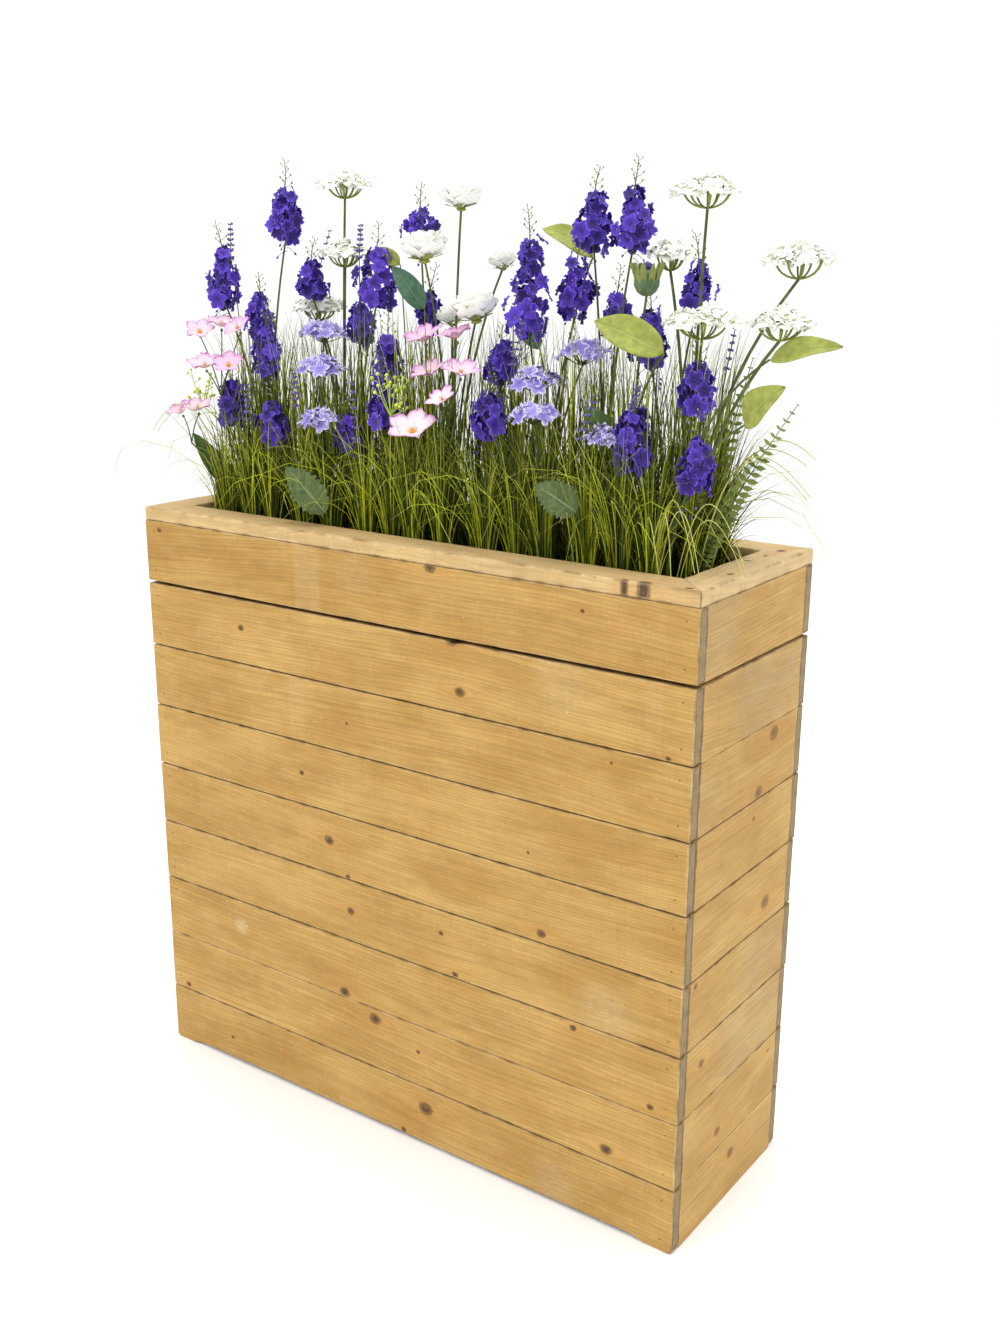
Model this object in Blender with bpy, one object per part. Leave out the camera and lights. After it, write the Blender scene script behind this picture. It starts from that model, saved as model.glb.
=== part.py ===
"""Wooden flower planter: a tall box of softwood boards, filled with grass and flowers.

The frame: metres, +X along the box to the right, -Y the long front, +Z up, and the origin on
the ground under the middle of the box.
"""

import math
import random

import bmesh
import bpy
import numpy as np
from mathutils import Matrix, Vector

# Driving dimensions of the box.
LENGTH = 1.000
DEPTH = 0.332
BOARD_THICK = 0.020
COURSES = 9
PITCH = 0.1036
BOARD_TALL = 0.1009
TOP_COURSE_CUT = 0.0025
FOOT_LONG = 0.055
FOOT_RELIEF = 0.006
RIM_WIDE = 0.055
RIM_THICK = 0.021
POST_WIDE = 0.045
CLEAR = 0.0003
SINK = 0.0005

# The trough inside the box and the soil that fills it.
TROUGH_LONG = 0.866
TROUGH_DEEP = 0.286
TROUGH_BASE = 0.705
TROUGH_TOP = 0.895
TROUGH_WALL = 0.004
BEARER_WIDE = 0.070
BEARER_TALL = 0.022
SOIL_TOP = 0.890
PLUG_LONG = 0.040
ROOT_Z = SOIL_TOP - 0.010
ROOT_RING = 0.0036
PLUG_SIDES = 5
PLUG_RADIUS = 0.0082

# The grass: strips that stand in slots along the four sides of the opening.
FRONT_STRIPS = 5
BACK_STRIPS = 3
STRIP_ROW = 0.092
STRIP_WIDE = 0.018
STRIP_SPAN = 0.832
END_STRIP_X = 0.4165
END_STRIP_LONG = 0.130
FRONT_BLADES = 19
BACK_BLADES = 15
END_BLADES = 10
FROND_ROWS = 24

BOX_TOP = (COURSES - 1) * PITCH + BOARD_TALL + CLEAR + RIM_THICK
OPENING_X = LENGTH / 2 - RIM_WIDE
OPENING_Y = DEPTH / 2 - RIM_WIDE
GOLDEN = math.pi * (3 - math.sqrt(5))

# The flowers. Each bunch grows from one plug in the soil, at (x, y), and each bloom is
# (x, y, z of its middle, width, height).
SPIKES = {
    "delphinium_1": (
        (-0.372, -0.008),
        [
            (-0.327, 0.000, 1.400, 0.056, 0.068),
            (-0.437, -0.030, 1.305, 0.050, 0.080),
            (-0.382, -0.010, 1.246, 0.048, 0.060),
        ],
    ),
    "delphinium_2": (
        (-0.338, -0.046),
        [
            (-0.332, -0.046, 1.196, 0.046, 0.070),
            (-0.412, -0.048, 1.112, 0.050, 0.058),
            (-0.292, -0.078, 1.090, 0.056, 0.056),
        ],
    ),
    "delphinium_3": (
        (-0.215, 0.018),
        [
            (-0.300, 0.024, 1.303, 0.048, 0.048),
            (-0.172, 0.030, 1.308, 0.070, 0.078),
            (-0.226, 0.052, 1.240, 0.044, 0.050),
        ],
    ),
    "delphinium_4": (
        (-0.118, -0.040),
        [
            (-0.110, -0.024, 1.190, 0.050, 0.062),
            (-0.086, -0.062, 1.128, 0.048, 0.056),
            (-0.146, -0.070, 1.084, 0.046, 0.044),
        ],
    ),
    "delphinium_5": (
        (-0.094, 0.056),
        [(-0.110, 0.060, 1.382, 0.066, 0.038), (-0.086, 0.050, 1.262, 0.040, 0.042)],
    ),
    "delphinium_6": (
        (0.100, -0.040),
        [(0.098, -0.024, 1.196, 0.046, 0.046), (0.108, -0.070, 1.130, 0.054, 0.054)],
    ),
    "delphinium_7": (
        (0.150, 0.010),
        [(0.132, -0.004, 1.298, 0.060, 0.130), (0.185, 0.032, 1.300, 0.056, 0.074)],
    ),
    "delphinium_8": (
        (0.232, 0.040),
        [
            (0.238, 0.052, 1.262, 0.050, 0.050),
            (0.196, 0.056, 1.387, 0.060, 0.068),
            (0.272, 0.034, 1.390, 0.050, 0.072),
        ],
    ),
    "delphinium_9": (
        (0.330, 0.044),
        [
            (0.314, 0.016, 1.238, 0.052, 0.060),
            (0.356, 0.060, 1.302, 0.046, 0.054),
        ],
    ),
    "delphinium_10": (
        (0.372, -0.050),
        [
            (0.420, -0.046, 1.182, 0.058, 0.056),
            (0.340, -0.070, 1.112, 0.056, 0.070),
            (0.440, -0.078, 1.090, 0.050, 0.056),
        ],
    ),
}
UMBELS = {
    "umbel_left": (
        (-0.272, 0.062),
        [
            (-0.265, 0.068, 1.440, 0.066, 0.034),
            (-0.322, 0.064, 1.255, 0.060, 0.034),
            (-0.252, 0.050, 1.338, 0.054, 0.034),
        ],
    ),
    "umbel_right": (
        (0.384, 0.006),
        [
            (0.383, 0.028, 1.418, 0.070, 0.036),
            (0.409, -0.022, 1.258, 0.076, 0.036),
            (0.306, 0.076, 1.340, 0.044, 0.036),
        ],
    ),
    "umbel_far_right": (
        (0.397, -0.022),
        [(0.538, -0.070, 1.262, 0.062, 0.034), (0.522, 0.010, 1.334, 0.066, 0.038)],
    ),
}
RANUNCULUS = {
    "ranunculus": (
        (-0.010, 0.006),
        [
            (-0.004, 0.020, 1.424, 0.062, 0.026),
            (-0.040, -0.020, 1.352, 0.074, 0.032),
            (0.052, -0.020, 1.270, 0.072, 0.030),
            (-0.024, 0.024, 1.258, 0.046, 0.026),
            (0.034, 0.070, 1.334, 0.046, 0.020),
        ],
    ),
}
BLOSSOMS = {
    "blossoms_left": (
        (-0.384, -0.071),
        [
            (-0.463, -0.062, 1.222, 0.040, 0.014),
            (-0.420, -0.056, 1.234, 0.040, 0.014),
            (-0.376, -0.062, 1.230, 0.038, 0.014),
            (-0.428, -0.086, 1.172, 0.046, 0.014),
            (-0.374, -0.088, 1.176, 0.042, 0.014),
            (-0.500, -0.076, 1.096, 0.038, 0.014),
            (-0.448, -0.088, 1.104, 0.042, 0.014),
        ],
    ),
    "blossoms_middle": (
        (0.006, -0.058),
        [
            (-0.024, -0.040, 1.226, 0.050, 0.014),
            (0.035, -0.044, 1.232, 0.042, 0.014),
            (0.000, -0.060, 1.180, 0.044, 0.014),
            (0.061, -0.068, 1.184, 0.046, 0.014),
            (0.000, -0.100, 1.103, 0.060, 0.016),
            (0.056, -0.102, 1.150, 0.040, 0.014),
        ],
    ),
}
PHLOX = {
    "phlox_left": (
        (-0.212, -0.056),
        [
            (-0.251, -0.006, 1.226, 0.082, 0.034),
            (-0.216, -0.052, 1.178, 0.082, 0.032),
            (-0.184, -0.095, 1.105, 0.066, 0.034),
        ],
    ),
    "phlox_right": (
        (0.192, -0.054),
        [
            (0.221, -0.006, 1.216, 0.080, 0.038),
            (0.175, -0.050, 1.178, 0.084, 0.032),
            (0.204, -0.095, 1.140, 0.076, 0.032),
        ],
    ),
}
# Each leaf is (x, y, z of its foot, then of its tip, width, teeth along an edge).
LEAVES = {
    "leafy_stem_right": (
        (0.396, -0.070),
        [
            (0.500, -0.088, 1.208, 0.606, -0.094, 1.233, 0.034, 0),
            (0.478, -0.100, 1.150, 0.530, -0.118, 1.190, 0.046, 0),
        ],
    ),
    "leafy_stem_middle": (
        (0.300, -0.040),
        [
            (0.350, -0.080, 1.210, 0.282, -0.094, 1.262, 0.052, 0),
            (0.300, -0.052, 1.100, 0.262, -0.058, 1.150, 0.030, 0),
        ],
    ),
    "leafy_stem_back": (
        (0.128, 0.068),
        [
            (0.194, 0.104, 1.342, 0.117, 0.110, 1.372, 0.036, 0),
            (0.100, 0.070, 1.210, 0.050, 0.086, 1.250, 0.030, 0),
        ],
    ),
}
SERRATED = {
    "grass_front_2": [(-0.222, -0.112, 0.960, -0.262, -0.134, 1.030, 0.050, 5)],
    "grass_front_4": [(0.196, -0.112, 0.960, 0.150, -0.136, 1.012, 0.046, 5)],
    "grass_left": [(-0.430, -0.040, 0.975, -0.482, -0.070, 1.060, 0.032, 0)],
}
FRONDS = {
    "grass_right": [
        (0.452, 0.040, 1.215, 0.036),
        (0.540, -0.010, 1.165, 0.040),
    ],
}
BERRIES = {
    "berries_left": ((-0.397, 0.024), (-0.520, -0.010, 1.125)),
    "berries_middle": ((-0.050, -0.052), (-0.058, -0.078, 1.146)),
}
SEED_HEAD = ((0.300, -0.008), (0.331, -0.030, 1.312, 0.036, 0.042))

GREEN = (0.16, 0.24, 0.04)
WOOD = (0.66, 0.42, 0.15)


def clear_scene():
    for thing in list(bpy.data.objects):
        bpy.data.objects.remove(thing, do_unlink=True)


def material(name, colour, roughness, metallic=0.0):
    """A plain Principled material of one colour."""
    made = bpy.data.materials.new(name)
    made.use_nodes = True
    shader = made.node_tree.nodes["Principled BSDF"]
    shader.inputs["Base Color"].default_value = (*colour, 1.0)
    shader.inputs["Roughness"].default_value = roughness
    shader.inputs["Metallic"].default_value = metallic
    return made


def object_of(name, bm, look):
    """A scene object that takes over this bmesh, with its faces turned outwards."""
    bmesh.ops.recalc_face_normals(bm, faces=bm.faces)
    mesh = bpy.data.meshes.new(name)
    bm.to_mesh(mesh)
    bm.free()
    if look:
        mesh.materials.append(look)
    made = bpy.data.objects.new(name, mesh)
    bpy.context.scene.collection.objects.link(made)
    return made


def block(name, low, high, look=None):
    """An upright box between two corners."""
    bm = bmesh.new()
    bmesh.ops.create_cube(bm, size=1.0)
    size = Vector(high) - Vector(low)
    bmesh.ops.scale(bm, vec=size, verts=bm.verts)
    bmesh.ops.translate(bm, vec=(Vector(high) + Vector(low)) / 2, verts=bm.verts)
    return object_of(name, bm, look)


def prism(name, outline, extrusion, look=None):
    """A closed prism: a flat outline in space, swept along one vector."""
    bm = bmesh.new()
    face = bm.faces.new([bm.verts.new(point) for point in outline])
    swept = bmesh.ops.extrude_face_region(bm, geom=[face], use_keep_orig=True)
    moved = [item for item in swept["geom"] if isinstance(item, bmesh.types.BMVert)]
    bmesh.ops.translate(bm, vec=extrusion, verts=moved)
    return object_of(name, bm, look)


def fuse(base, pieces, operation="UNION", solver="MANIFOLD"):
    """Joins the pieces to the base, or cuts them from it, by one Boolean on a collection."""
    group = bpy.data.collections.new(base.name + "_pieces")
    bpy.context.scene.collection.children.link(group)
    for piece in pieces:
        bpy.context.scene.collection.objects.unlink(piece)
        group.objects.link(piece)
    joint = base.modifiers.new("fuse", "BOOLEAN")
    joint.operation = operation
    joint.operand_type = "COLLECTION"
    joint.collection = group
    joint.solver = solver
    graph = bpy.context.evaluated_depsgraph_get()
    mesh = bpy.data.meshes.new_from_object(base.evaluated_get(graph))
    base.modifiers.clear()
    base.data = mesh
    for piece in list(group.objects):
        bpy.data.objects.remove(piece, do_unlink=True)
    bpy.data.collections.remove(group)
    return base


def clean_flat_faces(mesh):
    """Takes out the needless corners that a Boolean leaves along flat faces."""
    bm = bmesh.new()
    bm.from_mesh(mesh)
    bmesh.ops.dissolve_limit(
        bm, angle_limit=math.radians(0.05), verts=bm.verts, edges=bm.edges, delimit={"NORMAL"}
    )
    bmesh.ops.triangulate(bm, faces=bm.faces)
    bm.to_mesh(mesh)
    bm.free()


def course_bottom(course):
    """Height of a course's lower edge; the top course is cut a little short."""
    cut = TOP_COURSE_CUT if course == COURSES - 1 else 0.0
    return course * PITCH + cut


def course_top(course):
    return course * PITCH + BOARD_TALL


def footed_outline(half_length, top):
    """The lowest board seen from the front: its underside is cut away between two feet."""
    foot = half_length - FOOT_LONG
    slope = foot - FOOT_RELIEF
    return [
        (-half_length, 0.0),
        (-foot, 0.0),
        (-slope, FOOT_RELIEF),
        (slope, FOOT_RELIEF),
        (foot, 0.0),
        (half_length, 0.0),
        (half_length, top),
        (-half_length, top),
    ]


def long_boards(side, y_out, wood):
    """The nine boards of the front or the back, each the full length of the box."""
    for course in range(COURSES):
        name = f"{side}_board_{course + 1}"
        y_low = min(y_out, y_out - math.copysign(BOARD_THICK, y_out))
        if course == 0:
            outline = footed_outline(LENGTH / 2, course_top(0))
            points = [(x, y_low, z) for x, z in outline]
            prism(name, points, (0, BOARD_THICK, 0), wood)
            continue
        low = (-LENGTH / 2, y_low, course_bottom(course))
        high = (LENGTH / 2, y_low + BOARD_THICK, course_top(course))
        block(name, low, high, wood)


def end_panel(name, side, wood):
    """One end: nine short boards, the two corner posts behind them and the trough's bearer."""
    half = DEPTH / 2 - BOARD_THICK - CLEAR
    outer = side * LENGTH / 2
    inner = side * (LENGTH / 2 - BOARD_THICK)
    boards = []
    x_low, x_high = sorted((outer, inner))
    for course in range(COURSES):
        low, high = course_bottom(course), course_top(course)
        boards.append(block("board", (x_low, -half, low), (x_high, half, high)))
    top = course_top(COURSES - 1)
    x_low, x_high = sorted((inner + side * SINK, inner - side * POST_WIDE))
    posts = [
        block("post", (x_low, -half, 0.0), (x_high, POST_WIDE - half, top)),
        block("post", (x_low, half - POST_WIDE, 0.0), (x_high, half, top)),
    ]
    x_low, x_high = sorted((inner + side * SINK, inner - side * BEARER_WIDE))
    bearer_top = TROUGH_BASE - CLEAR
    bearer = block(
        "bearer",
        (x_low, POST_WIDE - half - SINK, bearer_top - BEARER_TALL),
        (x_high, half - POST_WIDE + SINK, bearer_top),
    )
    first = boards.pop(0)
    first.name = name
    first.data.materials.append(wood)
    fuse(first, boards + posts + [bearer], "UNION", "EXACT")
    clean_flat_faces(first.data)


def rim(wood):
    """The four flat boards on top, mitred at the corners."""
    low = BOX_TOP - RIM_THICK
    up = (0, 0, RIM_THICK)
    x_out, y_out = LENGTH / 2, DEPTH / 2
    x_in, y_in = x_out - RIM_WIDE, y_out - RIM_WIDE
    mitre = CLEAR * 0.75
    for side, name in ((-1, "rim_front"), (1, "rim_back")):
        outline = [
            (-x_out + mitre, side * y_out, low),
            (x_out - mitre, side * y_out, low),
            (x_in - mitre, side * y_in, low),
            (-x_in + mitre, side * y_in, low),
        ]
        prism(name, outline, up, wood)
    for side, name in ((-1, "rim_left"), (1, "rim_right")):
        outline = [
            (side * x_out, -y_out + mitre, low),
            (side * x_out, y_out - mitre, low),
            (side * x_in, y_in - mitre, low),
            (side * x_in, -y_in + mitre, low),
        ]
        prism(name, outline, up, wood)


def trough(look):
    """The open trough that carries the soil, on the bearers just under the rim."""
    x, y = TROUGH_LONG / 2, TROUGH_DEEP / 2
    bm = bmesh.new()
    bmesh.ops.create_cube(bm, size=1.0)
    bmesh.ops.scale(bm, vec=(2 * x, 2 * y, TROUGH_TOP - TROUGH_BASE), verts=bm.verts)
    middle = (TROUGH_TOP + TROUGH_BASE) / 2
    bmesh.ops.translate(bm, vec=(0, 0, middle), verts=bm.verts)
    lid = max(bm.faces, key=lambda face: face.calc_center_median().z)
    bmesh.ops.inset_region(bm, faces=[lid], thickness=TROUGH_WALL)
    swept = bmesh.ops.extrude_face_region(bm, geom=[lid])
    floor = [item for item in swept["geom"] if isinstance(item, bmesh.types.BMVert)]
    depth = TROUGH_TOP - TROUGH_BASE - TROUGH_WALL
    bmesh.ops.translate(bm, vec=(0, 0, -depth), verts=floor)
    bmesh.ops.delete(bm, geom=[lid], context="FACES_ONLY")
    object_of("trough", bm, look)


def soil(look, plugs, strips):
    """The soil, with a plain tapered hole for every plug and a slot for every grass strip."""
    x = TROUGH_LONG / 2 - TROUGH_WALL - CLEAR
    y = TROUGH_DEEP / 2 - TROUGH_WALL - CLEAR
    low = TROUGH_BASE + TROUGH_WALL + CLEAR
    bed = block("soil", (-x, -y, low), (x, y, SOIL_TOP), look)
    cutters = [plug_solid("hole", *place, CLEAR * 1.6) for place in plugs]
    cutters += [strip_solid("slot", *strip, CLEAR * 1.6) for strip in strips]
    fuse(bed, cutters, "DIFFERENCE", "EXACT")


def plug_solid(name, x, y, grow=0.0):
    """The tapered five-sided plug that holds the stems of a bunch, or its hole in the soil."""
    bm = bmesh.new()
    top = SOIL_TOP + (0.01 if grow else 0.003)
    bottom = SOIL_TOP - PLUG_LONG - grow
    taper = 0.08
    wide = PLUG_RADIUS + grow + taper * (top - SOIL_TOP)
    narrow = PLUG_RADIUS + grow - taper * (SOIL_TOP - bottom)
    bmesh.ops.create_cone(
        bm, cap_ends=True, segments=PLUG_SIDES, radius1=narrow, radius2=wide, depth=top - bottom
    )
    bmesh.ops.translate(bm, vec=(x, y, (top + bottom) / 2), verts=bm.verts)
    return object_of(name, bm, None)


def strip_solid(name, x, y, long_x, long_y, grow=0.0):
    """The thin block that a strip of grass grows from, or its slot in the soil."""
    top = SOIL_TOP + (0.01 if grow else 0.003)
    half_x = long_x / 2 + grow
    half_y = long_y / 2 + grow
    low = (x - half_x, y - half_y, SOIL_TOP - PLUG_LONG - grow)
    return block(name, low, (x + half_x, y + half_y, top))


class Room:
    """Remembers what is already planted, as round-ended rods, so that bunches stay clear."""

    def __init__(self):
        self.start = np.empty((0, 3))
        self.end = np.empty((0, 3))
        self.radius = np.empty(0)
        self.owner = np.empty(0, dtype=object)

    def add(self, owner, points, radius):
        points = np.array(points, float)
        count = len(points) - 1
        self.start = np.vstack([self.start, points[:-1]])
        self.end = np.vstack([self.end, points[1:]])
        self.radius = np.append(self.radius, np.full(count, radius))
        self.owner = np.append(self.owner, np.array([owner] * count, dtype=object))

    def gap(self, owner, points, radius):
        """The least gap between this row of points and what other bunches hold."""
        others = self.owner != owner
        if not others.any():
            return 1.0
        points = np.array(points, float)
        start, end = points[:-1, None], points[1:, None]
        first, last = self.start[others][None], self.end[others][None]
        u, v, w = end - start, last - first, start - first
        a, b, c = (u * u).sum(-1), (u * v).sum(-1), (v * v).sum(-1)
        d, e = (u * w).sum(-1), (v * w).sum(-1)
        s = np.clip((b * e - c * d) / np.maximum(a * c - b * b, 1e-14), 0, 1)
        t = np.clip((b * s + e) / np.maximum(c, 1e-14), 0, 1)
        s = np.clip((b * t - d) / np.maximum(a, 1e-14), 0, 1)
        apart = np.linalg.norm(w + s[..., None] * u - t[..., None] * v, axis=-1)
        return float((apart - self.radius[others][None]).min()) - radius


def inside_opening(points):
    """Whether a stem passes up through the rim's opening and stays off its boards."""
    limit = BOX_TOP + 0.006
    for low, high in zip(points, points[1:]):
        if low.z > limit:
            break
        share = min(1.0, (limit - low.z) / (high.z - low.z))
        for point in (low, low.lerp(high, share)):
            if abs(point.x) > OPENING_X - 0.004 or abs(point.y) > OPENING_Y - 0.004:
                return False
    return True


def arc(start, end, sway, steps):
    """A bent stem: upright at its foot, then leaning to its end, swayed by one offset."""
    start, end = Vector(start), Vector(end)
    knee = Vector((start.x, start.y, start.z + 0.6 * (end.z - start.z))) + Vector(sway)
    points = []
    for step in range(steps + 1):
        t = step / steps
        points.append((1 - t) ** 2 * start + 2 * t * (1 - t) * knee + t * t * end)
    return points


def frame_along(points, index):
    """Two directions square to the line of points at one of them."""
    before = points[max(index - 1, 0)]
    after = points[min(index + 1, len(points) - 1)]
    along = (after - before).normalized()
    side = Vector((0, 1, 0)).cross(along).normalized()
    return side, along.cross(side)


def skin(bm, rows):
    """Closes a skin over rows of points of one count; a row of one point is a tip."""
    for lower, upper in zip(rows, rows[1:]):
        count = max(len(lower), len(upper))
        for k in range(count):
            a, b = lower[k % len(lower)], lower[(k + 1) % len(lower)]
            c, d = upper[(k + 1) % len(upper)], upper[k % len(upper)]
            if a is b:
                bm.faces.new((a, c, d))
            elif c is d:
                bm.faces.new((a, b, c))
            else:
                bm.faces.new((a, b, c))
                bm.faces.new((a, c, d))


def loft(name, rings):
    """A closed solid over rings of points, with flat ends or tips."""
    bm = bmesh.new()
    rows = [[bm.verts.new(point) for point in ring] for ring in rings]
    skin(bm, rows)
    for row in (rows[0], rows[-1]):
        if len(row) > 2:
            bm.faces.new(row)
    return object_of(name, bm, None)


def rod_rings(points, radius, tip, turn=0.0):
    """The three-cornered rings of a stem or blade; it ends in a point where tip is 0."""
    rings = []
    last = len(points) - 1
    for index, point in enumerate(points):
        if index == last and tip == 0:
            rings.append([point])
            continue
        side, up = frame_along(points, index)
        share = index / last
        wide = radius * (1 - share) + tip * share
        angles = [turn + 2 * math.pi * k / 3 for k in range(3)]
        rings.append([point + wide * (math.cos(a) * side + math.sin(a) * up) for a in angles])
    return rings


def needle(points, radius, tip, turn=0.0):
    """A stem or blade of grass: a thin three-sided rod along its points."""
    return loft("stem", rod_rings(points, radius, tip, turn))


def grow_stem(room, owner, foot, end, radius, rng, spread=0.03, steps=3):
    """Finds a bend that keeps a stem clear of the other bunches, and remembers it."""
    best, best_gap = None, -1.0
    for attempt in range(240):
        reach = spread * min(1.0, attempt / 60)
        sway = [rng.uniform(-reach, reach) for _ in range(2)]
        shift = rng.uniform(-reach, reach)
        points = arc(foot, end, (*sway, shift), steps)
        if not inside_opening(points):
            continue
        gap = room.gap(owner, points, radius)
        if gap > best_gap:
            best, best_gap = points, gap
        if gap > 0.0012:
            break
    room.add(owner, best, radius)
    return best


def zip_rings(bm, inner, outer, align=False):
    """Fills the skin between two closed rings of unlike counts, in step round both."""
    if align:
        near = min(range(len(outer)), key=lambda k: (outer[k].co - inner[0].co).length)
        outer = outer[near:] + outer[:near]
    i = j = 0
    while i < len(inner) or j < len(outer):
        a, b = inner[i % len(inner)], outer[j % len(outer)]
        if (i + 0.5) / len(inner) < (j + 0.5) / len(outer):
            i += 1
            bm.faces.new((a, inner[i % len(inner)], b))
        else:
            j += 1
            bm.faces.new((a, outer[j % len(outer)], b))


def open_floret(bm, face, middle, axis, petals, reach, notch, throat, waist=0.0):
    """Turns one face of a core into a floret: a neck, a star of petals and a sunk throat.

    With a waist, the neck is a thin ray of that radius up to just under the star.
    """
    corners = [loop.vert for loop in face.loops]
    axis = axis.normalized()
    start = corners[0].co - sum((corner.co for corner in corners), Vector()) / len(corners)
    side = (start - axis * start.dot(axis)).normalized()
    up = axis.cross(side)
    if (corners[1].co - corners[0].co).dot(up) < 0:
        up = -up
    bm.faces.remove(face)
    if waist:
        spot = middle - axis * (throat + 2 * waist)
        ray = (spot - sum((corner.co for corner in corners), Vector()) / len(corners)).normalized()
        right = (side - ray * side.dot(ray)).normalized()
        ahead = ray.cross(right)
        if ahead.dot(up) < 0:
            ahead = -ahead
        ring = []
        for k in range(3):
            angle = 2 * math.pi * k / 3
            ring.append(bm.verts.new(spot + waist * (math.cos(angle) * right + math.sin(angle) * ahead)))
        zip_rings(bm, corners, ring)
        corners = ring
    star = []
    for k in range(2 * petals):
        angle = math.pi * k / petals
        wide = notch if k % 2 else reach
        lift = axis * (0.0 if k % 2 else 0.12 * reach)
        point = middle + lift + wide * (math.cos(angle) * side + math.sin(angle) * up)
        star.append(bm.verts.new(point))
    heart = bm.verts.new(middle - axis * throat)
    zip_rings(bm, corners, star)
    for k, point in enumerate(star):
        bm.faces.new((point, star[(k + 1) % len(star)], heart))


def ring_of(bm, count, radius, height, turn=0.0):
    ring = []
    for k in range(count):
        angle = turn + 2 * math.pi * k / count
        ring.append(bm.verts.new((radius * math.cos(angle), radius * math.sin(angle), height)))
    return ring


def bridge(bm, lower, upper):
    """Four-sided faces between two rings of one count; returns them."""
    count = len(lower)
    faces = []
    for k in range(count):
        after = (k + 1) % count
        faces.append(bm.faces.new((lower[k], lower[after], upper[after], upper[k])))
    return faces


def spike_head(bm, wide, tall, rng):
    """A delphinium's head: belts of florets round a slim core, and a bud on top."""
    belts = 3 if tall > 0.1 else 2 if tall > 0.042 else 1
    petals = 5 if wide > 0.059 else 4
    around = 5 if wide > 0.054 else 4
    half = tall * 0.40
    step = 2 * half / belts
    rings = []
    for level in range(belts + 1):
        share = level / belts
        bulge = math.sin(math.pi * (0.22 + 0.60 * share))
        turn = math.pi * level / around
        rings.append(ring_of(bm, around, wide * 0.27 * bulge, step * level - half, turn))
    out_at = wide * 0.41
    beside = 0.90 * out_at * math.sin(math.pi / around)
    above = 0.5 * math.hypot(2 * out_at * math.sin(math.pi / 2 / around), step)
    most = min(beside, above if belts > 1 else beside, wide * 0.27)
    for level in range(belts):
        share = (level + 0.5) / belts
        for face in bridge(bm, rings[level], rings[level + 1]):
            middle = face.calc_center_median()
            out = Vector((middle.x, middle.y, 0)).normalized()
            reach = most * rng.uniform(0.92, 1.0)
            axis = out + Vector((0, 0, (share - 0.4) * 0.8 + rng.uniform(-0.1, 0.1)))
            spot = out * out_at + Vector((0, 0, middle.z))
            open_floret(bm, face, spot, axis, petals, reach, reach * 0.58, reach * 0.35)
    bud = ring_of(bm, around, wide * 0.11, half + wide * 0.10)
    skin(bm, [rings[-1], bud, [bm.verts.new((0, 0, tall / 2 + wide * 0.22))]])
    return rings[0]


def umbel_head(bm, wide, tall, rng):
    """An umbel: florets on thin rays that spread like a bowl from the top of the stem."""
    hub = 0.0026
    low = ring_of(bm, 5, hub, -tall / 2)
    high = ring_of(bm, 5, hub, -tall / 2 + 2 * hub)
    cap = bm.faces.new(high)
    size = wide * 0.165
    for k, face in enumerate(bridge(bm, low, high)):
        out = face.calc_center_median()
        out = Vector((out.x, out.y, 0)).normalized()
        spread = wide / 2 - size * (0.8 if k % 2 else 1.05)
        lift = tall * (0.18 if k % 2 else 0.32)
        reach = size * rng.uniform(0.9, 1.03)
        spot = out * spread + Vector((0, 0, lift))
        axis = Vector((0, 0, 1)) + out * 0.5
        open_floret(bm, face, spot, axis, 4, reach, reach * 0.6, 0.003, 0.0010)
    top = Vector((0, 0, tall / 2 - 0.002))
    open_floret(bm, cap, top, Vector((0, 0, 1)), 4, size, size * 0.6, 0.003, 0.0010)
    return low


def phlox_head(bm, wide, tall, rng):
    """A phlox head: a flat dome of open florets over a short neck."""
    neck = ring_of(bm, 5, 0.003, -tall / 2)
    belly = ring_of(bm, 5, wide * 0.24, -tall * 0.10)
    crown = ring_of(bm, 5, wide * 0.12, tall * 0.10)
    skin(bm, [neck, belly])
    cap = bm.faces.new(crown)
    for face in bridge(bm, belly, crown):
        middle = face.calc_center_median()
        out = Vector((middle.x, middle.y, 0)).normalized()
        reach = wide * rng.uniform(0.172, 0.184)
        spot = out * (wide / 2 - reach * 0.9) + Vector((0, 0, tall * 0.10))
        axis = out * 0.4 + Vector((0, 0, 1))
        open_floret(bm, face, spot, axis, 5, reach, reach * 0.64, 0.003)
    top = Vector((0, 0, tall * 0.10 + wide * 0.10))
    size = wide * 0.175
    open_floret(bm, cap, top, Vector((0, 0, 1)), 5, size, size * 0.64, 0.003)
    return neck


def ranunculus_head(bm, wide, tall, rng):
    """A ranunculus: layers of broad petals laid flat round a low heart, on a green cup."""
    layers = [
        (0.14, -0.50, 0.00),
        (0.50, -0.06, 0.16),
        (0.34, 0.06, 0.10),
        (0.40, 0.26, 0.14),
        (0.24, 0.30, 0.10),
    ]
    count = 8
    rings = []
    for level, (share, height, wave) in enumerate(layers):
        ring = []
        for k in range(count):
            petal = (-1) ** (k + level)
            angle = 2 * math.pi * k / count
            radius = wide * share * (1 + wave * petal * 0.5)
            ring.append(bm.verts.new((radius * math.cos(angle), radius * math.sin(angle), tall * height)))
        rings.append(ring)
    skin(bm, rings + [[bm.verts.new((0, 0, tall * 0.48))]])
    return rings[0]


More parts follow.
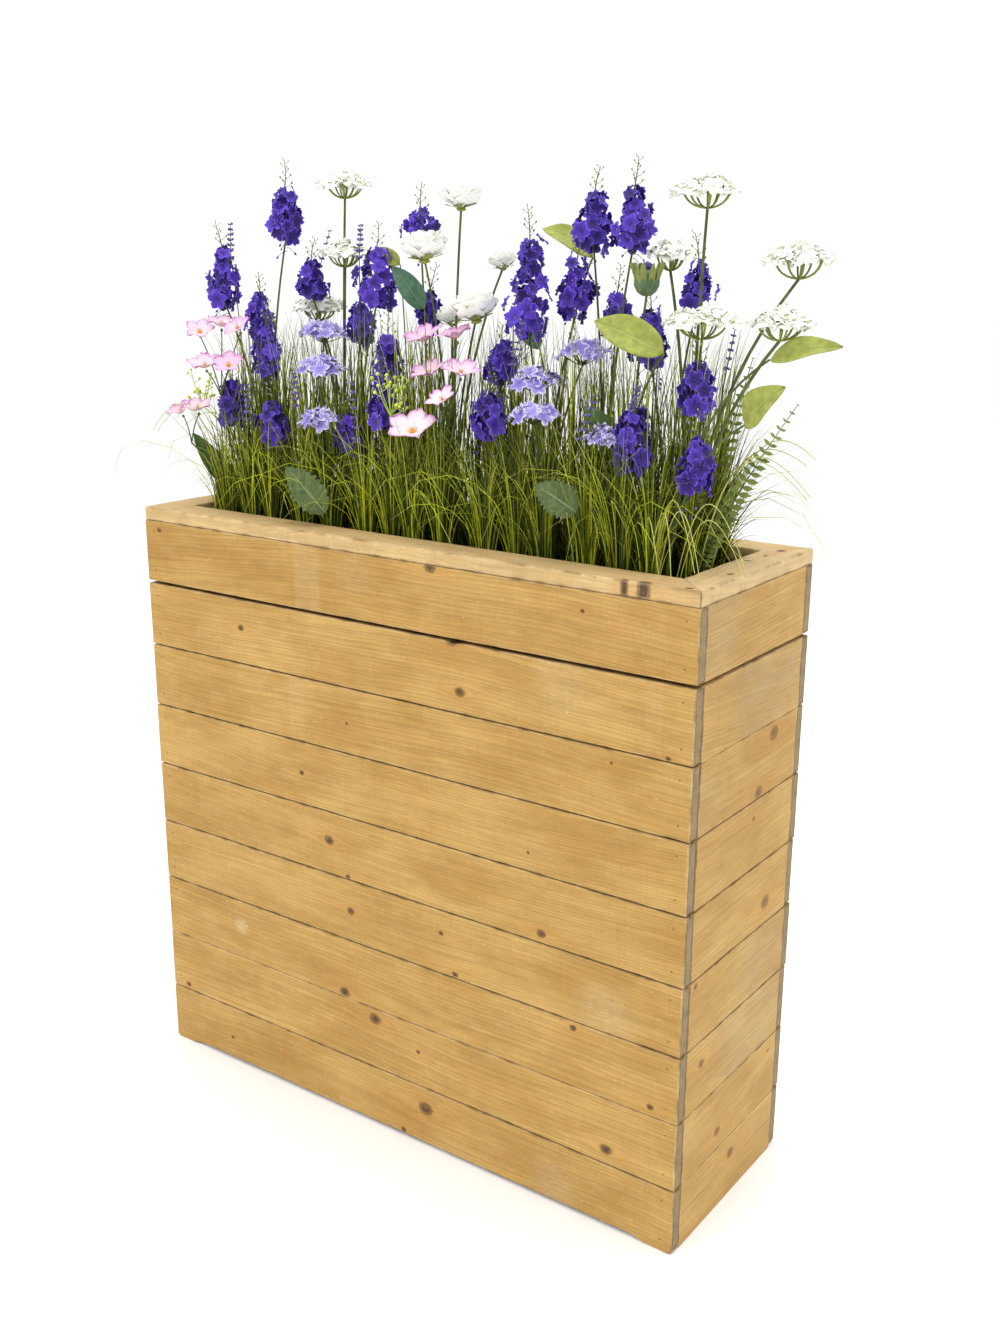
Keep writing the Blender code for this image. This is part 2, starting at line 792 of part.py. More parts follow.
def blossom_head(bm, wide, tall, rng):
    """An open blossom of five round petals: a shallow dish on a short neck."""
    neck = ring_of(bm, 5, 0.0018, -tall * 0.7)
    dish = []
    for k in range(15):
        angle = 2 * math.pi * k / 15
        notch = k % 3 == 0
        radius = wide / 2 * (0.55 if notch else 1.0)
        lift = tall * (0.05 if notch else 0.5)
        dish.append(bm.verts.new((radius * math.cos(angle), radius * math.sin(angle), lift)))
    zip_rings(bm, neck, dish)
    skin(bm, [dish, [bm.verts.new((0, 0, -tall * 0.1))]])
    return neck


def egg_head(bm, wide, tall, rng):
    """A closed green seed head: an egg with ribs, and spread bracts under it."""
    rows = [(0.10, -0.48), (0.46, -0.22), (0.34, -0.12), (0.36, 0.10), (0.22, 0.34), (0.30, 0.50)]
    rings = []
    for share, height in rows:
        ring = []
        for k in range(8):
            radius = wide * share * (1.12 if k % 2 else 0.88)
            angle = 2 * math.pi * k / 8
            ring.append(bm.verts.new((radius * math.cos(angle), radius * math.sin(angle), tall * height)))
        rings.append(ring)
    skin(bm, rings + [[bm.verts.new((0, 0, tall * 0.40))]])
    return rings[0]


def bloom_on_stem(bloom, points, stem, make_head, lean, rng):
    """One stem with its bloom, as one closed skin."""
    x, y, z, wide, tall = bloom
    bm = bmesh.new()
    bottom = make_head(bm, wide, tall, rng)
    tilt = Matrix.Rotation(rng.uniform(-lean, lean), 4, "X")
    tilt = tilt @ Matrix.Rotation(rng.uniform(-lean, lean), 4, "Y")
    turn = Matrix.Rotation(rng.uniform(0, 6.28), 4, "Z")
    bmesh.ops.transform(bm, matrix=Matrix.Translation((x, y, z)) @ tilt @ turn, verts=bm.verts)
    rods = [[bm.verts.new(point) for point in ring] for ring in rod_rings(points, stem, stem * 0.8)]
    skin(bm, rods)
    bm.faces.new(list(reversed(rods[0])))
    zip_rings(bm, rods[-1], bottom, True)
    return object_of("bloom", bm, None)


def keep_bloom_room(room, plan):
    """Keeps the space of every bloom before any stem is grown: upright, or as flat spokes."""
    for owner, (_, blooms) in plan.items():
        for index, (x, y, z, wide, tall) in enumerate(blooms):
            own = f"{owner} {index}"
            radius = min(wide, tall) / 2
            run = max(tall / 2 - radius, 0.001)
            room.add(own, [(x, y, z - run), (x, y, z + run)], radius)
            for spoke in range(3):
                angle = math.pi * spoke / 3
                reach = max(wide / 2 - radius, 0.0)
                out = Vector((reach * math.cos(angle), reach * math.sin(angle), 0))
                room.add(own, [Vector((x, y, z)) - out, Vector((x, y, z)) + out], radius)


def bunch(room, owner, foot, blooms, make_head, look, rng, stem=0.0016, lean=0.1, steps=3):
    """A bunch: its plug, and blooms on their stems, fused in one solid."""
    plug = plug_solid(owner, *foot)
    plug.data.materials.append(look)
    pieces = []
    for index, bloom in enumerate(blooms):
        x, y, z, wide, tall = bloom
        angle = 2 * math.pi * index / len(blooms)
        ring = ROOT_RING if len(blooms) > 1 else 0.0
        root = (foot[0] + ring * math.cos(angle), foot[1] + ring * math.sin(angle), ROOT_Z)
        end = (x, y, z - tall * 0.5 - 0.004)
        points = grow_stem(room, f"{owner} {index}", root, end, stem, rng, 0.03, steps)
        pieces.append(bloom_on_stem(bloom, points, stem, make_head, lean, rng))
    return fuse(plug, pieces)


def leaf_solid(foot, tip, wide, teeth, arch=0.18):
    """A leaf: a thin blade with a raised midrib, arched along its length, its edge cut."""
    foot, tip = Vector(foot), Vector(tip)
    along = tip - foot
    side = along.cross(Vector((0, 0, 1))).normalized()
    up = side.cross(along).normalized()
    rows = 2 * teeth if teeth else 6
    rings = [[foot]]
    for row in range(1, rows):
        t = row / rows
        profile = math.sin(math.pi * t ** 0.75) ** 0.8
        half = wide / 2 * profile
        if teeth and row % 2:
            half *= 0.72
        centre = foot + along * t + up * (arch * along.length * math.sin(math.pi * t))
        fold = up * (half * 0.22)
        rings.append(
            [
                centre + side * half + fold,
                centre + up * 0.0006,
                centre - side * half + fold,
                centre - up * 0.0008,
            ]
        )
    rings.append([tip])
    return loft("leaf", rings)


def frond_solid(points, wide):
    """A fern frond: pairs of leaflets cut to the rib, in one thin arched outline."""
    rings = [[points[0]]]
    rows = len(points)
    for row in range(1, rows - 1):
        side, up = frame_along(points, row)
        share = row / (rows - 1)
        half = wide / 2 * math.sin(math.pi * (0.12 + 0.86 * share)) ** 0.7
        half = half if row % 2 else 0.0022
        droop = -up * half * 0.18
        rings.append(
            [
                points[row] + side * half + droop,
                points[row] + up * 0.0008,
                points[row] - side * half + droop,
                points[row] - up * 0.0008,
            ]
        )
    rings.append([points[-1]])
    return loft("frond", rings)


def leafy_stem(room, owner, foot, leaves, look, rng):
    """A stem that ends in one leaf and carries others on short stalks."""
    plug = plug_solid(owner, *foot)
    plug.data.materials.append(look)
    pieces = []
    for index, leaf in enumerate(leaves):
        start, tip, wide, teeth = leaf[0:3], leaf[3:6], leaf[6], leaf[7]
        root = (foot[0] + 0.005 * index - 0.0025, foot[1], ROOT_Z)
        points = grow_stem(room, f"{owner} {index}", root, start, 0.0015, rng, 0.09)
        toward = (Vector(tip) - Vector(start)).normalized()
        pieces.append(needle(points, 0.0015, 0.0011))
        base = points[-1].lerp(points[-2], 0.02) - toward * 0.0004
        pieces.append(leaf_solid(base, tip, wide, teeth))
    return fuse(plug, pieces)


def keep_leaf_room(room, owner, leaf):
    """Keeps the space of a leaf before any stem is grown."""
    start, tip, wide = Vector(leaf[0:3]), Vector(leaf[3:6]), leaf[6]
    lift = Vector((0, 0, 0.12 * (tip - start).length))
    line = [start.lerp(tip, 0.15), start.lerp(tip, 0.5) + lift, start.lerp(tip, 0.9)]
    room.add(owner, line, wide * 0.42)


def berry_spray(room, owner, foot, top, look, rng):
    """A spray of round green berries on forked stalks."""
    plug = plug_solid(owner, *foot)
    plug.data.materials.append(look)
    root = (foot[0], foot[1], ROOT_Z)
    top = Vector(top)
    points = grow_stem(room, owner, root, top, 0.0014, rng)
    pieces = [needle(points, 0.0014, 0.0010)]
    for k in range(4):
        angle = GOLDEN * k
        out = 0.006 + 0.0045 * k
        berry = top + Vector((out * math.cos(angle), out * math.sin(angle), 0.030 - 0.007 * k))
        start = points[-1].lerp(points[-2], 0.01 + 0.03 * k)
        along = berry - start
        share = 1 - 0.0045 / along.length
        spots = [start, start.lerp(berry, share), berry, start.lerp(berry, 2 - share)]
        rings = []
        for spot, wide in zip(spots, (0.0008, 0.0010, 0.0050, 0.0024)):
            right = along.cross(Vector((0, 0, 1))).normalized() * wide
            ahead = along.cross(right).normalized() * wide
            rings.append([spot + right, spot + ahead, spot - right, spot - ahead])
        pieces.append(loft("berry", rings))
    return fuse(plug, pieces)


def grass_blades(room, owner, strip, count, rng, lean):
    """Blades that stand along a strip and fan out, each clear of what is planted there."""
    x, y, long_x, long_y = strip
    blades = []
    for index in range(count):
        own = f"{owner} blade {index}"
        for attempt in range(60):
            along = (index + rng.random()) / count - 0.5
            across = rng.uniform(-0.36, 0.36)
            if long_x > long_y:
                root = Vector((x + along * 0.96 * long_x, y + across * long_y, SOIL_TOP - 0.008))
            else:
                root = Vector((x + across * long_x, y + along * 0.96 * long_y, SOIL_TOP - 0.008))
            long = index % 4 == 0
            tall = rng.uniform(0.30, 0.42) if long else rng.uniform(0.16, 0.26)
            spread = 0.22 * tall
            reach = Vector(
                (
                    rng.gauss(lean[0], 1.0) * spread * (0.6 if long else 1.0),
                    rng.gauss(lean[1], 0.8) * spread * (0.5 if long else 0.9),
                    tall,
                )
            )
            tip = root + reach
            knee = root + Vector((reach.x * 0.16, reach.y * 0.16, tall * 0.62))
            points = []
            steps = 3 if long else 2
            for step in range(steps + 1):
                t = step / steps
                points.append((1 - t) ** 2 * root + 2 * t * (1 - t) * knee + t * t * tip)
            over = abs(tip.y) > DEPTH / 2 or abs(tip.x) > LENGTH / 2 + 0.095
            if over or not inside_opening(points):
                continue
            if room.gap(own, points, 0.0017) > 0.0005:
                room.add(own, points, 0.0017)
                blades.append(needle(points, 0.0017, 0, turn=rng.uniform(0, 6.28)))
                break
    return blades


def side_blade(room, owner, root, knee, tip, radius=0.0017):
    """One long blade that arches out over the end of the box."""
    points = []
    root, knee, tip = Vector(root), Vector(knee), Vector(tip)
    for step in range(5):
        t = step / 4
        points.append((1 - t) ** 2 * root + 2 * t * (1 - t) * knee + t * t * tip)
    room.add(owner, points, radius)
    return needle(points, radius, 0)


def strips():
    """Every grass strip: its name, middle and size, and how many blades and which lean."""
    plan = {}
    for side, count, word in ((-1, FRONT_STRIPS, "front"), (1, BACK_STRIPS, "back")):
        span = STRIP_SPAN / count
        for k in range(count):
            x = -STRIP_SPAN / 2 + (k + 0.5) * span
            size = (span - 0.003, STRIP_WIDE)
            blades = FRONT_BLADES if side < 0 else BACK_BLADES
            lean = (0.9 * (2 * (k + 0.5) / count - 1) ** 3, 0.75 * side)
            plan[f"grass_{word}_{k + 1}"] = ((x, side * STRIP_ROW, *size), blades, lean)
    for side, word in ((-1, "left"), (1, "right")):
        place_and_size = (side * END_STRIP_X, 0.008, STRIP_WIDE, END_STRIP_LONG)
        plan[f"grass_{word}"] = (place_and_size, END_BLADES, (1.3 * side, -0.2))
    return plan


def flowers(room):
    """All the bunches, the tall ones first, so that the low ones bend round them."""
    rng = random.Random(41)
    plans = (SPIKES, UMBELS, RANUNCULUS, BLOSSOMS, PHLOX)
    for plan in plans:
        keep_bloom_room(room, plan)
    keep_bloom_room(room, {"seed_head": (SEED_HEAD[0], [SEED_HEAD[1]])})
    for plan in (LEAVES, {name: (None, rows) for name, rows in SERRATED.items()}):
        for owner, (_, leaves) in plan.items():
            for index, leaf in enumerate(leaves):
                keep_leaf_room(room, f"{owner} {index}", leaf)
    for owner, (_, top) in BERRIES.items():
        room.add(owner, [top, Vector(top) + Vector((0, 0, 0.022))], 0.022)

    violet = material("violet_petals", (0.10, 0.05, 0.42), 0.85)
    white = material("white_petals", (0.86, 0.88, 0.74), 0.85)
    pink = material("pink_petals", (0.85, 0.45, 0.66), 0.85)
    lilac = material("lilac_petals", (0.42, 0.38, 0.80), 0.85)
    leaf_green = material("leaves", (0.20, 0.30, 0.08), 0.6)
    sprig_green = material("sprays", (0.42, 0.50, 0.14), 0.6)
    for owner, (foot, blooms) in SPIKES.items():
        bunch(room, owner, foot, blooms, spike_head, violet, rng, 0.0019)
    for owner, (foot, blooms) in UMBELS.items():
        bunch(room, owner, foot, blooms, umbel_head, white, rng, 0.0016)
    for owner, (foot, blooms) in RANUNCULUS.items():
        bunch(room, owner, foot, blooms, ranunculus_head, white, rng, 0.0017)
    for owner, (foot, blooms) in BLOSSOMS.items():
        bunch(room, owner, foot, blooms, blossom_head, pink, rng, 0.0012, 0.2, 2)
    for owner, (foot, blooms) in PHLOX.items():
        bunch(room, owner, foot, blooms, phlox_head, lilac, rng, 0.0014)
    for owner, (foot, leaves) in LEAVES.items():
        leafy_stem(room, owner, foot, leaves, leaf_green, rng)
    for owner, (foot, top) in BERRIES.items():
        berry_spray(room, owner, foot, top, sprig_green, rng)
    foot, bloom = SEED_HEAD
    bunch(room, "seed_head", foot, [bloom], egg_head, sprig_green, rng)


def grass(room, plan):
    """The grass strips, with the low leaves and fern fronds that grow among them."""
    rng = random.Random(7)
    green = material("grass", GREEN, 0.6)
    for owner, (strip, count, lean) in plan.items():
        base = strip_solid(owner, *strip)
        base.data.materials.append(green)
        pieces = []
        for leaf in SERRATED.get(owner, []):
            start = Vector(leaf[0:3])
            root = Vector((start.x, math.copysign(STRIP_ROW, start.y), SOIL_TOP - 0.008))
            if not strip[2] > strip[3]:
                root = Vector((strip[0], start.y, SOIL_TOP - 0.008))
            toward = (Vector(leaf[3:6]) - start).normalized()
            stalk = [root, root.lerp(start, 0.55) + Vector((0, 0, 0.008)), start]
            room.add(owner, stalk, 0.0014)
            pieces.append(needle(stalk, 0.0014, 0.0011))
            joint = start.lerp(stalk[1], 0.04) - toward * 0.0004
            pieces.append(leaf_solid(joint, leaf[3:6], leaf[6], leaf[7]))
        for x, y, z, wide in FRONDS.get(owner, []):
            root = (strip[0], y, SOIL_TOP - 0.008)
            low = Vector(root).lerp(Vector((x, y, z)), 0.45)
            stalk = grow_stem(room, owner, root, (x, y, z), 0.0013, rng, 0.02, FROND_ROWS)
            pieces.append(needle(stalk[: FROND_ROWS * 2 // 3 : 4], 0.0013, 0.0011))
            leafy = [point for point in stalk if point.z > low.z]
            pieces.append(frond_solid(leafy, wide))
            room.add(owner, leafy, wide / 2)
        if owner == "grass_left":
            tip = (-0.598, -0.050, 1.052)
            pieces.append(side_blade(room, owner, (-0.419, -0.040, 0.882), (-0.44, -0.04, 1.14), tip))
        if owner == "grass_right":
            tip = (0.598, -0.040, 1.050)
            pieces.append(side_blade(room, owner, (0.419, -0.030, 0.882), (0.44, -0.03, 1.14), tip))
        pieces += grass_blades(room, owner, strip, count, rng, lean)
        fuse(base, pieces)


def main():
    clear_scene()
    wood = material("softwood", WOOD, 0.65)
    long_boards("front", -DEPTH / 2, wood)
    long_boards("back", DEPTH / 2, wood)
    end_panel("end_panel_left", -1, wood)
    end_panel("end_panel_right", 1, wood)
    rim(wood)
    trough(material("trough_plastic", (0.03, 0.03, 0.03), 0.6))
    plan = strips()
    plugs = []
    for group in (SPIKES, UMBELS, RANUNCULUS, BLOSSOMS, PHLOX, LEAVES, BERRIES):
        plugs += [foot for foot, _ in group.values()]
    plugs.append(SEED_HEAD[0])
    soil(material("soil", (0.05, 0.035, 0.02), 0.95), plugs, [row[0] for row in plan.values()])
    room = Room()
    flowers(room)
    grass(room, plan)


main()
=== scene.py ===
import random
from math import atan2, cos, exp, log, pi, radians, sin, sqrt

import bmesh
import bpy
import numpy as np
from mathutils import Matrix, Vector, noise


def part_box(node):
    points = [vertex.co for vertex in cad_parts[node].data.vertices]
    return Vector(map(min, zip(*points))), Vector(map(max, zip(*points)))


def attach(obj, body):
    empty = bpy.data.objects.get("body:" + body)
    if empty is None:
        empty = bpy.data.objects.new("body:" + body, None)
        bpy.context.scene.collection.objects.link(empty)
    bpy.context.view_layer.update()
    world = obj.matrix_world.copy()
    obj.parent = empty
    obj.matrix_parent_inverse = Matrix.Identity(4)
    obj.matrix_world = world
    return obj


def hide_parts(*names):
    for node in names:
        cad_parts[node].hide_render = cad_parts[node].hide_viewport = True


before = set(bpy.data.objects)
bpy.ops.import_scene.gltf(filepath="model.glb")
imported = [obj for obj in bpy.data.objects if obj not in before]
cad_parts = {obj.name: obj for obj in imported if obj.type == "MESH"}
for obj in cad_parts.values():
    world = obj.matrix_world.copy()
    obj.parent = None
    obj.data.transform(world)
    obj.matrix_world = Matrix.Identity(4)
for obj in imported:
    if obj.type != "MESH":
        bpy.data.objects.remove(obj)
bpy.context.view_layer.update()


# ---- Camera -------------------------------------------------------------------------------
# The planter is seen from the right of its long front and from above the rim, at about two
# metres, with the middle of the frame on the box. The lens gives a 1000 x 1333 picture.

def place_camera():
    """A camera with the heading, pitch and roll of the photograph."""
    place, heading, pitch, roll = Vector((1.2793, -1.6826, 1.3452)), -0.6183, 0.2824, 0.0058
    film, picture_height, focal_pixels = 36.0, 1333, 1429.24
    ahead = Vector((sin(heading) * cos(pitch), cos(heading) * cos(pitch), -sin(pitch)))
    right = Vector((cos(heading), -sin(heading), 0.0))
    above = right.cross(ahead)
    turned = Matrix((cos(roll) * right + sin(roll) * above, cos(roll) * above - sin(roll) * right, -ahead))
    camera = bpy.data.objects.new("camera", bpy.data.cameras.new("camera"))
    bpy.context.scene.collection.objects.link(camera)
    camera.matrix_world = Matrix.Translation(place) @ turned.transposed().to_4x4()
    camera.data.sensor_width = film
    camera.data.lens = focal_pixels / picture_height * film
    camera.data.clip_start = 0.05
    bpy.context.scene.camera = camera


place_camera()


# ---- Studio floor and light ---------------------------------------------------------------
# The planter stands on a pale seamless floor in an even white studio. Large soft lights hang at
# the front left and above, a weaker one fills the end, and the room itself is nearly white.

class Value:
    """An output in a node tree. Sums written with it add the maths nodes that they need."""

    def __init__(self, socket):
        self.socket, self.tree = socket, socket.id_data

    def maths(self, operation, *others):
        return made_by(self.tree, "ShaderNodeMath", {"operation": operation}, self, *others)

    def vector(self, operation, *others, **named):
        return made_by(self.tree, "ShaderNodeVectorMath", {"operation": operation}, self, *others, **named)

    def __add__(self, other):
        return self.maths("ADD", other)

    def __sub__(self, other):
        return self.maths("SUBTRACT", other)

    def __mul__(self, other):
        return self.maths("MULTIPLY", other)

    def __truediv__(self, other):
        return self.maths("DIVIDE", other)

    def __pow__(self, other):
        return self.maths("POWER", other)

    def __abs__(self):
        return self.maths("ABSOLUTE")


def feed(spot, value):
    """Links an input to a Value, or sets it to a plain value."""
    if isinstance(value, Value):
        value.tree.links.new(value.socket, spot)
    elif value is not None:
        spot.default_value = value


def add_node(tree, kind, settings=None, *inputs, **named):
    """Adds a node and feeds its inputs, in their order or by their names."""
    made = tree.nodes.new(kind)
    for key, value in (settings or {}).items():
        setattr(made, key, value)
    for spot, value in zip(made.inputs, inputs):
        feed(spot, value)
    for key, value in named.items():
        feed(made.inputs[key.replace("_", " ")], value)
    return made


def made_by(tree, kind, settings=None, *inputs, output=0, **named):
    """Adds a node and gives one of its outputs."""
    return Value(add_node(tree, kind, settings, *inputs, **named).outputs[output])


def blended(share, first, second, way="MIX"):
    """Two colours mixed by a share."""
    tree = next(value.tree for value in (share, first, second) if isinstance(value, Value))
    made = add_node(tree, "ShaderNodeMix", {"data_type": "RGBA", "blend_type": way}, share)
    for spot, colour in ((made.inputs[6], first), (made.inputs[7], second)):
        feed(spot, colour if isinstance(colour, Value) else (*colour, 1.0))
    return Value(made.outputs[2])


def cloudy(place, scale, detail=2.0, roughness=0.5):
    """Noise at a place, from 0 to 1."""
    return made_by(place.tree, "ShaderNodeTexNoise", Vector=place, Scale=scale, Detail=detail, Roughness=roughness)


def new_finish(name, shine=0.25, **plain):
    """A material, its Principled shader with plain values on it, and the place on the object as a Value."""
    finish = bpy.data.materials.new(name)
    finish.use_nodes = True
    shader = finish.node_tree.nodes["Principled BSDF"]
    shader.inputs["Specular IOR Level"].default_value = shine
    for key, value in plain.items():
        shader.inputs[key.replace("_", " ")].default_value = value
    return finish, shader, made_by(finish.node_tree, "ShaderNodeTexCoord", output="Object")


def finish_on(shader, colour, roughness=None, height=None, relief=0.001):
    """Feeds the shader a colour, a roughness, and a height whose relief is in metres."""
    feed(shader.inputs["Base Color"], colour)
    feed(shader.inputs["Roughness"], roughness)
    if height:
        feed(shader.inputs["Normal"], made_by(height.tree, "ShaderNodeBump", Height=height, Distance=relief))


def mesh_piece(name, points, faces, *finishes):
    """A mesh object at the origin, with its place in its points."""
    mesh = bpy.data.meshes.new(name)
    mesh.from_pydata([tuple(point) for point in points], [], faces)
    for finish in finishes:
        mesh.materials.append(finish)
    piece = bpy.data.objects.new(name, mesh)
    bpy.context.scene.collection.objects.link(piece)
    return piece


def soft_light(name, place, aim, size, power, colour=(1.0, 1.0, 1.0)):
    """A square area light turned to a point."""
    lamp = bpy.data.lights.new(name, "AREA")
    lamp.size, lamp.energy, lamp.color = size, power, colour
    holder = bpy.data.objects.new(name, lamp)
    bpy.context.scene.collection.objects.link(holder)
    holder.location = place
    holder.rotation_euler = (Vector(aim) - Vector(place)).to_track_quat("-Z", "Y").to_euler()


def studio():
    """The floor, the lights and the white room."""
    finish, shader, place = new_finish("studio floor", 0.5, Roughness=0.9)
    finish_on(shader, blended(cloudy(place, 3.0), (0.955, 0.955, 0.955), (0.975, 0.975, 0.97)))
    side = 30.0
    floor = mesh_piece("studio_floor", [(-side, -side, 0), (side, -side, 0), (side, side, 0), (-side, side, 0)],
                       [(0, 1, 2, 3)], finish)
    soft_light("key light", (-1.2, -3.4, 3.4), (0, 0, 0.7), 2.6, 52.0, (1.0, 0.985, 0.96))
    soft_light("fill light", (3.6, -0.8, 2.2), (0, 0, 0.6), 2.4, 16.0, (0.98, 0.99, 1.0))
    soft_light("top light", (0.4, 0.5, 4.2), (0, 0, 0.8), 3.6, 90.0)
    room = bpy.data.worlds.new("white studio")
    room.use_nodes = True
    room.node_tree.nodes["Background"].inputs["Color"].default_value = (1.0, 1.0, 1.0, 1.0)
    room.node_tree.nodes["Background"].inputs["Strength"].default_value = 1.05
    bpy.context.scene.world = room
    bpy.context.scene.view_settings.view_transform = "Standard"


studio()


# ---- Front and back boards ----------------------------------------------------------------
# Nine courses of planed softwood, 20 mm thick and as long as the box, nailed near each end to
# the corner posts. Sawn ends show on the box's ends, and the arrises are worn round by use.

course_pitch = 0.1036


def new_group(name, kind="ShaderNodeTree", **inputs):
    """A node group and its inputs as Values. An input is given by its plain value, or by its kind."""
    group = bpy.data.node_groups.new(name, kind)
    for key, value in inputs.items():
        sort = value if isinstance(value, str) else {int: "Int", float: "Float"}[type(value)]
        socket = group.interface.new_socket(key.replace("_", " "), in_out="INPUT", socket_type=f"NodeSocket{sort}")
        if sort != value:
            socket.default_value = value
    sockets = add_node(group, "NodeGroupInput").outputs
    return group, *(Value(sockets[key.replace("_", " ")]) for key in inputs)


def gives(group, **results):
    """Ends a node group with its named outputs."""
    for key, value in results.items():
        sort = {"RGBA": "Color", "GEOMETRY": "Geometry"}.get(value.socket.type, "Float")
        group.interface.new_socket(key.replace("_", " "), in_out="OUTPUT", socket_type=f"NodeSocket{sort}")
    add_node(group, "NodeGroupOutput", None, *results.values())
    return group


def parts_of(place):
    """The three parts of a place."""
    return [Value(socket) for socket in add_node(place.tree, "ShaderNodeSeparateXYZ", None, place).outputs]


def at(x, y, z):
    """A place from its three parts."""
    tree = next(part.tree for part in (x, y, z) if isinstance(part, Value))
    return made_by(tree, "ShaderNodeCombineXYZ", None, x, y, z)


def length_of(x, y):
    """How long a step with these two sides is."""
    return (x ** 2.0 + y ** 2.0).maths("SQRT")


def ranged(value, low, high, to_low=0.0, to_high=1.0):
    """The value brought smoothly from one range to another, and held at its ends."""
    smooth = {"interpolation_type": "SMOOTHSTEP"}
    return made_by(value.tree, "ShaderNodeMapRange", smooth, value, low, high, to_low, to_high)


def marks_of(shader, *labels):
    """Attributes of the mesh, as Values."""
    return [made_by(shader.id_data, "ShaderNodeAttribute", {"attribute_name": label}, output="Fac") for label in labels]


def wood_grain_group():
    """Growth rings, fibres and slow changes of tone; the place is along, through and across the grain."""
    group, place, bend, seed, ring_pitch = new_group("wood grain", Place="Vector", Bend=0.0, Seed=0.0, Ring_Pitch=0.005)
    along, through, across = parts_of(place)
    slow = cloudy(at(along * 1.4, through * 4.0, seed), 1.0, 1.0)
    quick = cloudy(at(along * 8.0, through * 20.0, across * 14.0 + seed), 1.0, 2.0)
    bent = through * 0.45 + across + bend + ((slow - 0.5) * 0.075 + (quick - 0.5) * 0.007)
    uneven = cloudy(at(seed, 0.0, bent * 60.0), 1.0, 1.0)
    ring = add_node(group, "ShaderNodeValToRGB", None, (uneven * 3.0 + bent / ring_pitch).maths("FRACT"))
    steps = ring.color_ramp.elements
    steps[0].color = steps[1].color = (0.5, 0.5, 0.5, 1)
    for spot, level in ((0.16, 0.0), (0.6, 0.25), (0.9, 1.0)):
        steps.new(spot).color = (level, level, level, 1)
    fine = cloudy(at(along * 26.0, through * 500.0, bent * 900.0 + seed), 1.0, 2.0, 0.6)
    coarse = cloudy(at(along * 6.0, through * 100.0, bent * 210.0 + seed), 1.0, 2.0, 0.55)
    sawn = cloudy(at(along * 480.0, through * 40.0, across * 26.0 + seed), 1.0, 2.0)
    patch = cloudy(at(along * 7.0 + seed, through * 9.0, across * 17.0), 1.0, 4.0, 0.62)
    return gives(group, Ring=Value(ring.outputs[0]), Patch=ranged(patch, 0.3, 0.7),
                 Fibre=ranged(fine * 0.42 + coarse * 0.42 + sawn * 0.16, 0.32, 0.68))


def knot_group():
    """One knot: its dark core, the ring round it, the amber wood about it, and how it bends the grain."""
    group, place, at_along, at_across, radius, bend, core, ring, glow = new_group(
        "knot", Place="Vector", Along=0.0, Across=0.0, Radius=0.005, Bend_So_Far=0.0, Core_So_Far=0.0,
        Ring_So_Far=0.0, Glow_So_Far=0.0)
    along, _, across = parts_of(place)
    along, across = (along - at_along) / radius, (across - at_across) / radius
    near = length_of(along * 0.8, across) + (cloudy(place, 320.0, 2.0) - 0.5) * 0.9
    wide = length_of(along * 0.36, across).maths("MAXIMUM", 0.05)
    fade = (wide ** 2.0 * -0.16).maths("EXPONENT")
    return gives(group, Bend=bend + across / wide * fade * (radius * -1.5),
                 Core=core.maths("MAXIMUM", ranged(near, 1.15, 0.55)),
                 Ring=ring.maths("MAXIMUM", ranged(abs(near - 1.05), 0.5, 0.0)), Glow=glow.maths("MAXIMUM", fade))


def wood_colour_group():
    """Honey-coloured softwood from its rings, fibres, tone, knots, rubbed and dirty arrises, and painted shade on the
    narrow faces between boards.
    """
    honey, brown = (0.600, 0.392, 0.128), (0.395, 0.218, 0.048)
    late_wood, bleached = (0.285, 0.140, 0.032), (0.720, 0.570, 0.345)
    amber, bark = (0.50, 0.23, 0.055), (0.070, 0.034, 0.014)
    heart, red_heart = (0.026, 0.014, 0.009), (0.205, 0.095, 0.034)
    weathered, rubbed, grime_and_gap_shade = (0.330, 0.300, 0.220), (0.74, 0.56, 0.30), (0.115, 0.062, 0.018)
    group, ring, fibre, patch, core, knot_ring, glow, tone, stain, bleach, worn, dirt = new_group(
        "wood colour", Ring=0.0, Fibre=0.5, Patch=0.5, Core=0.0, Knot_Ring=0.0, Glow=0.0, Tone=0.5, Stain=0.0,
        Bleach=0.0, Worn=0.0, Dirt=0.5)
    colour = blended(patch * 0.60 + (tone * 0.3 + 0.07), honey, brown)
    colour = blended(ring * 0.36, colour, late_wood)
    colour = blended(bleach * (dirt * 0.9 + 0.35), colour, bleached)
    shade = fibre * 0.28 + 0.82
    colour = blended(1.0, colour, made_by(group, "ShaderNodeCombineColor", None, shade, shade, shade), "MULTIPLY")
    # The wear mark gives pale rubs and dark dirt on the arrises; on the narrow faces between boards the same dark
    # colour is painted shade in the gaps.
    for share, over in ((glow * 0.35, amber), (core * 0.88, blended(ranged(fibre, 0.45, 1.0), heart, red_heart)),
                        (knot_ring * 0.60, bark), (stain * 0.55, weathered),
                        (ranged(dirt * 0.9 + worn, 0.95, 1.6) * 0.3, rubbed),
                        (ranged(worn - dirt, 0.22, 0.95) * 0.85, grime_and_gap_shade)):
        colour = blended(share, colour, over)
    return gives(group, Colour=colour, Roughness=core * -0.16 + (ring * -0.08 + 0.74),
                 Height=knot_ring * -0.8 + (ring * 0.35 + fibre * 0.45))


wood_grain = wood_grain_group()
wood_knot = knot_group()
wood_colour = wood_colour_group()


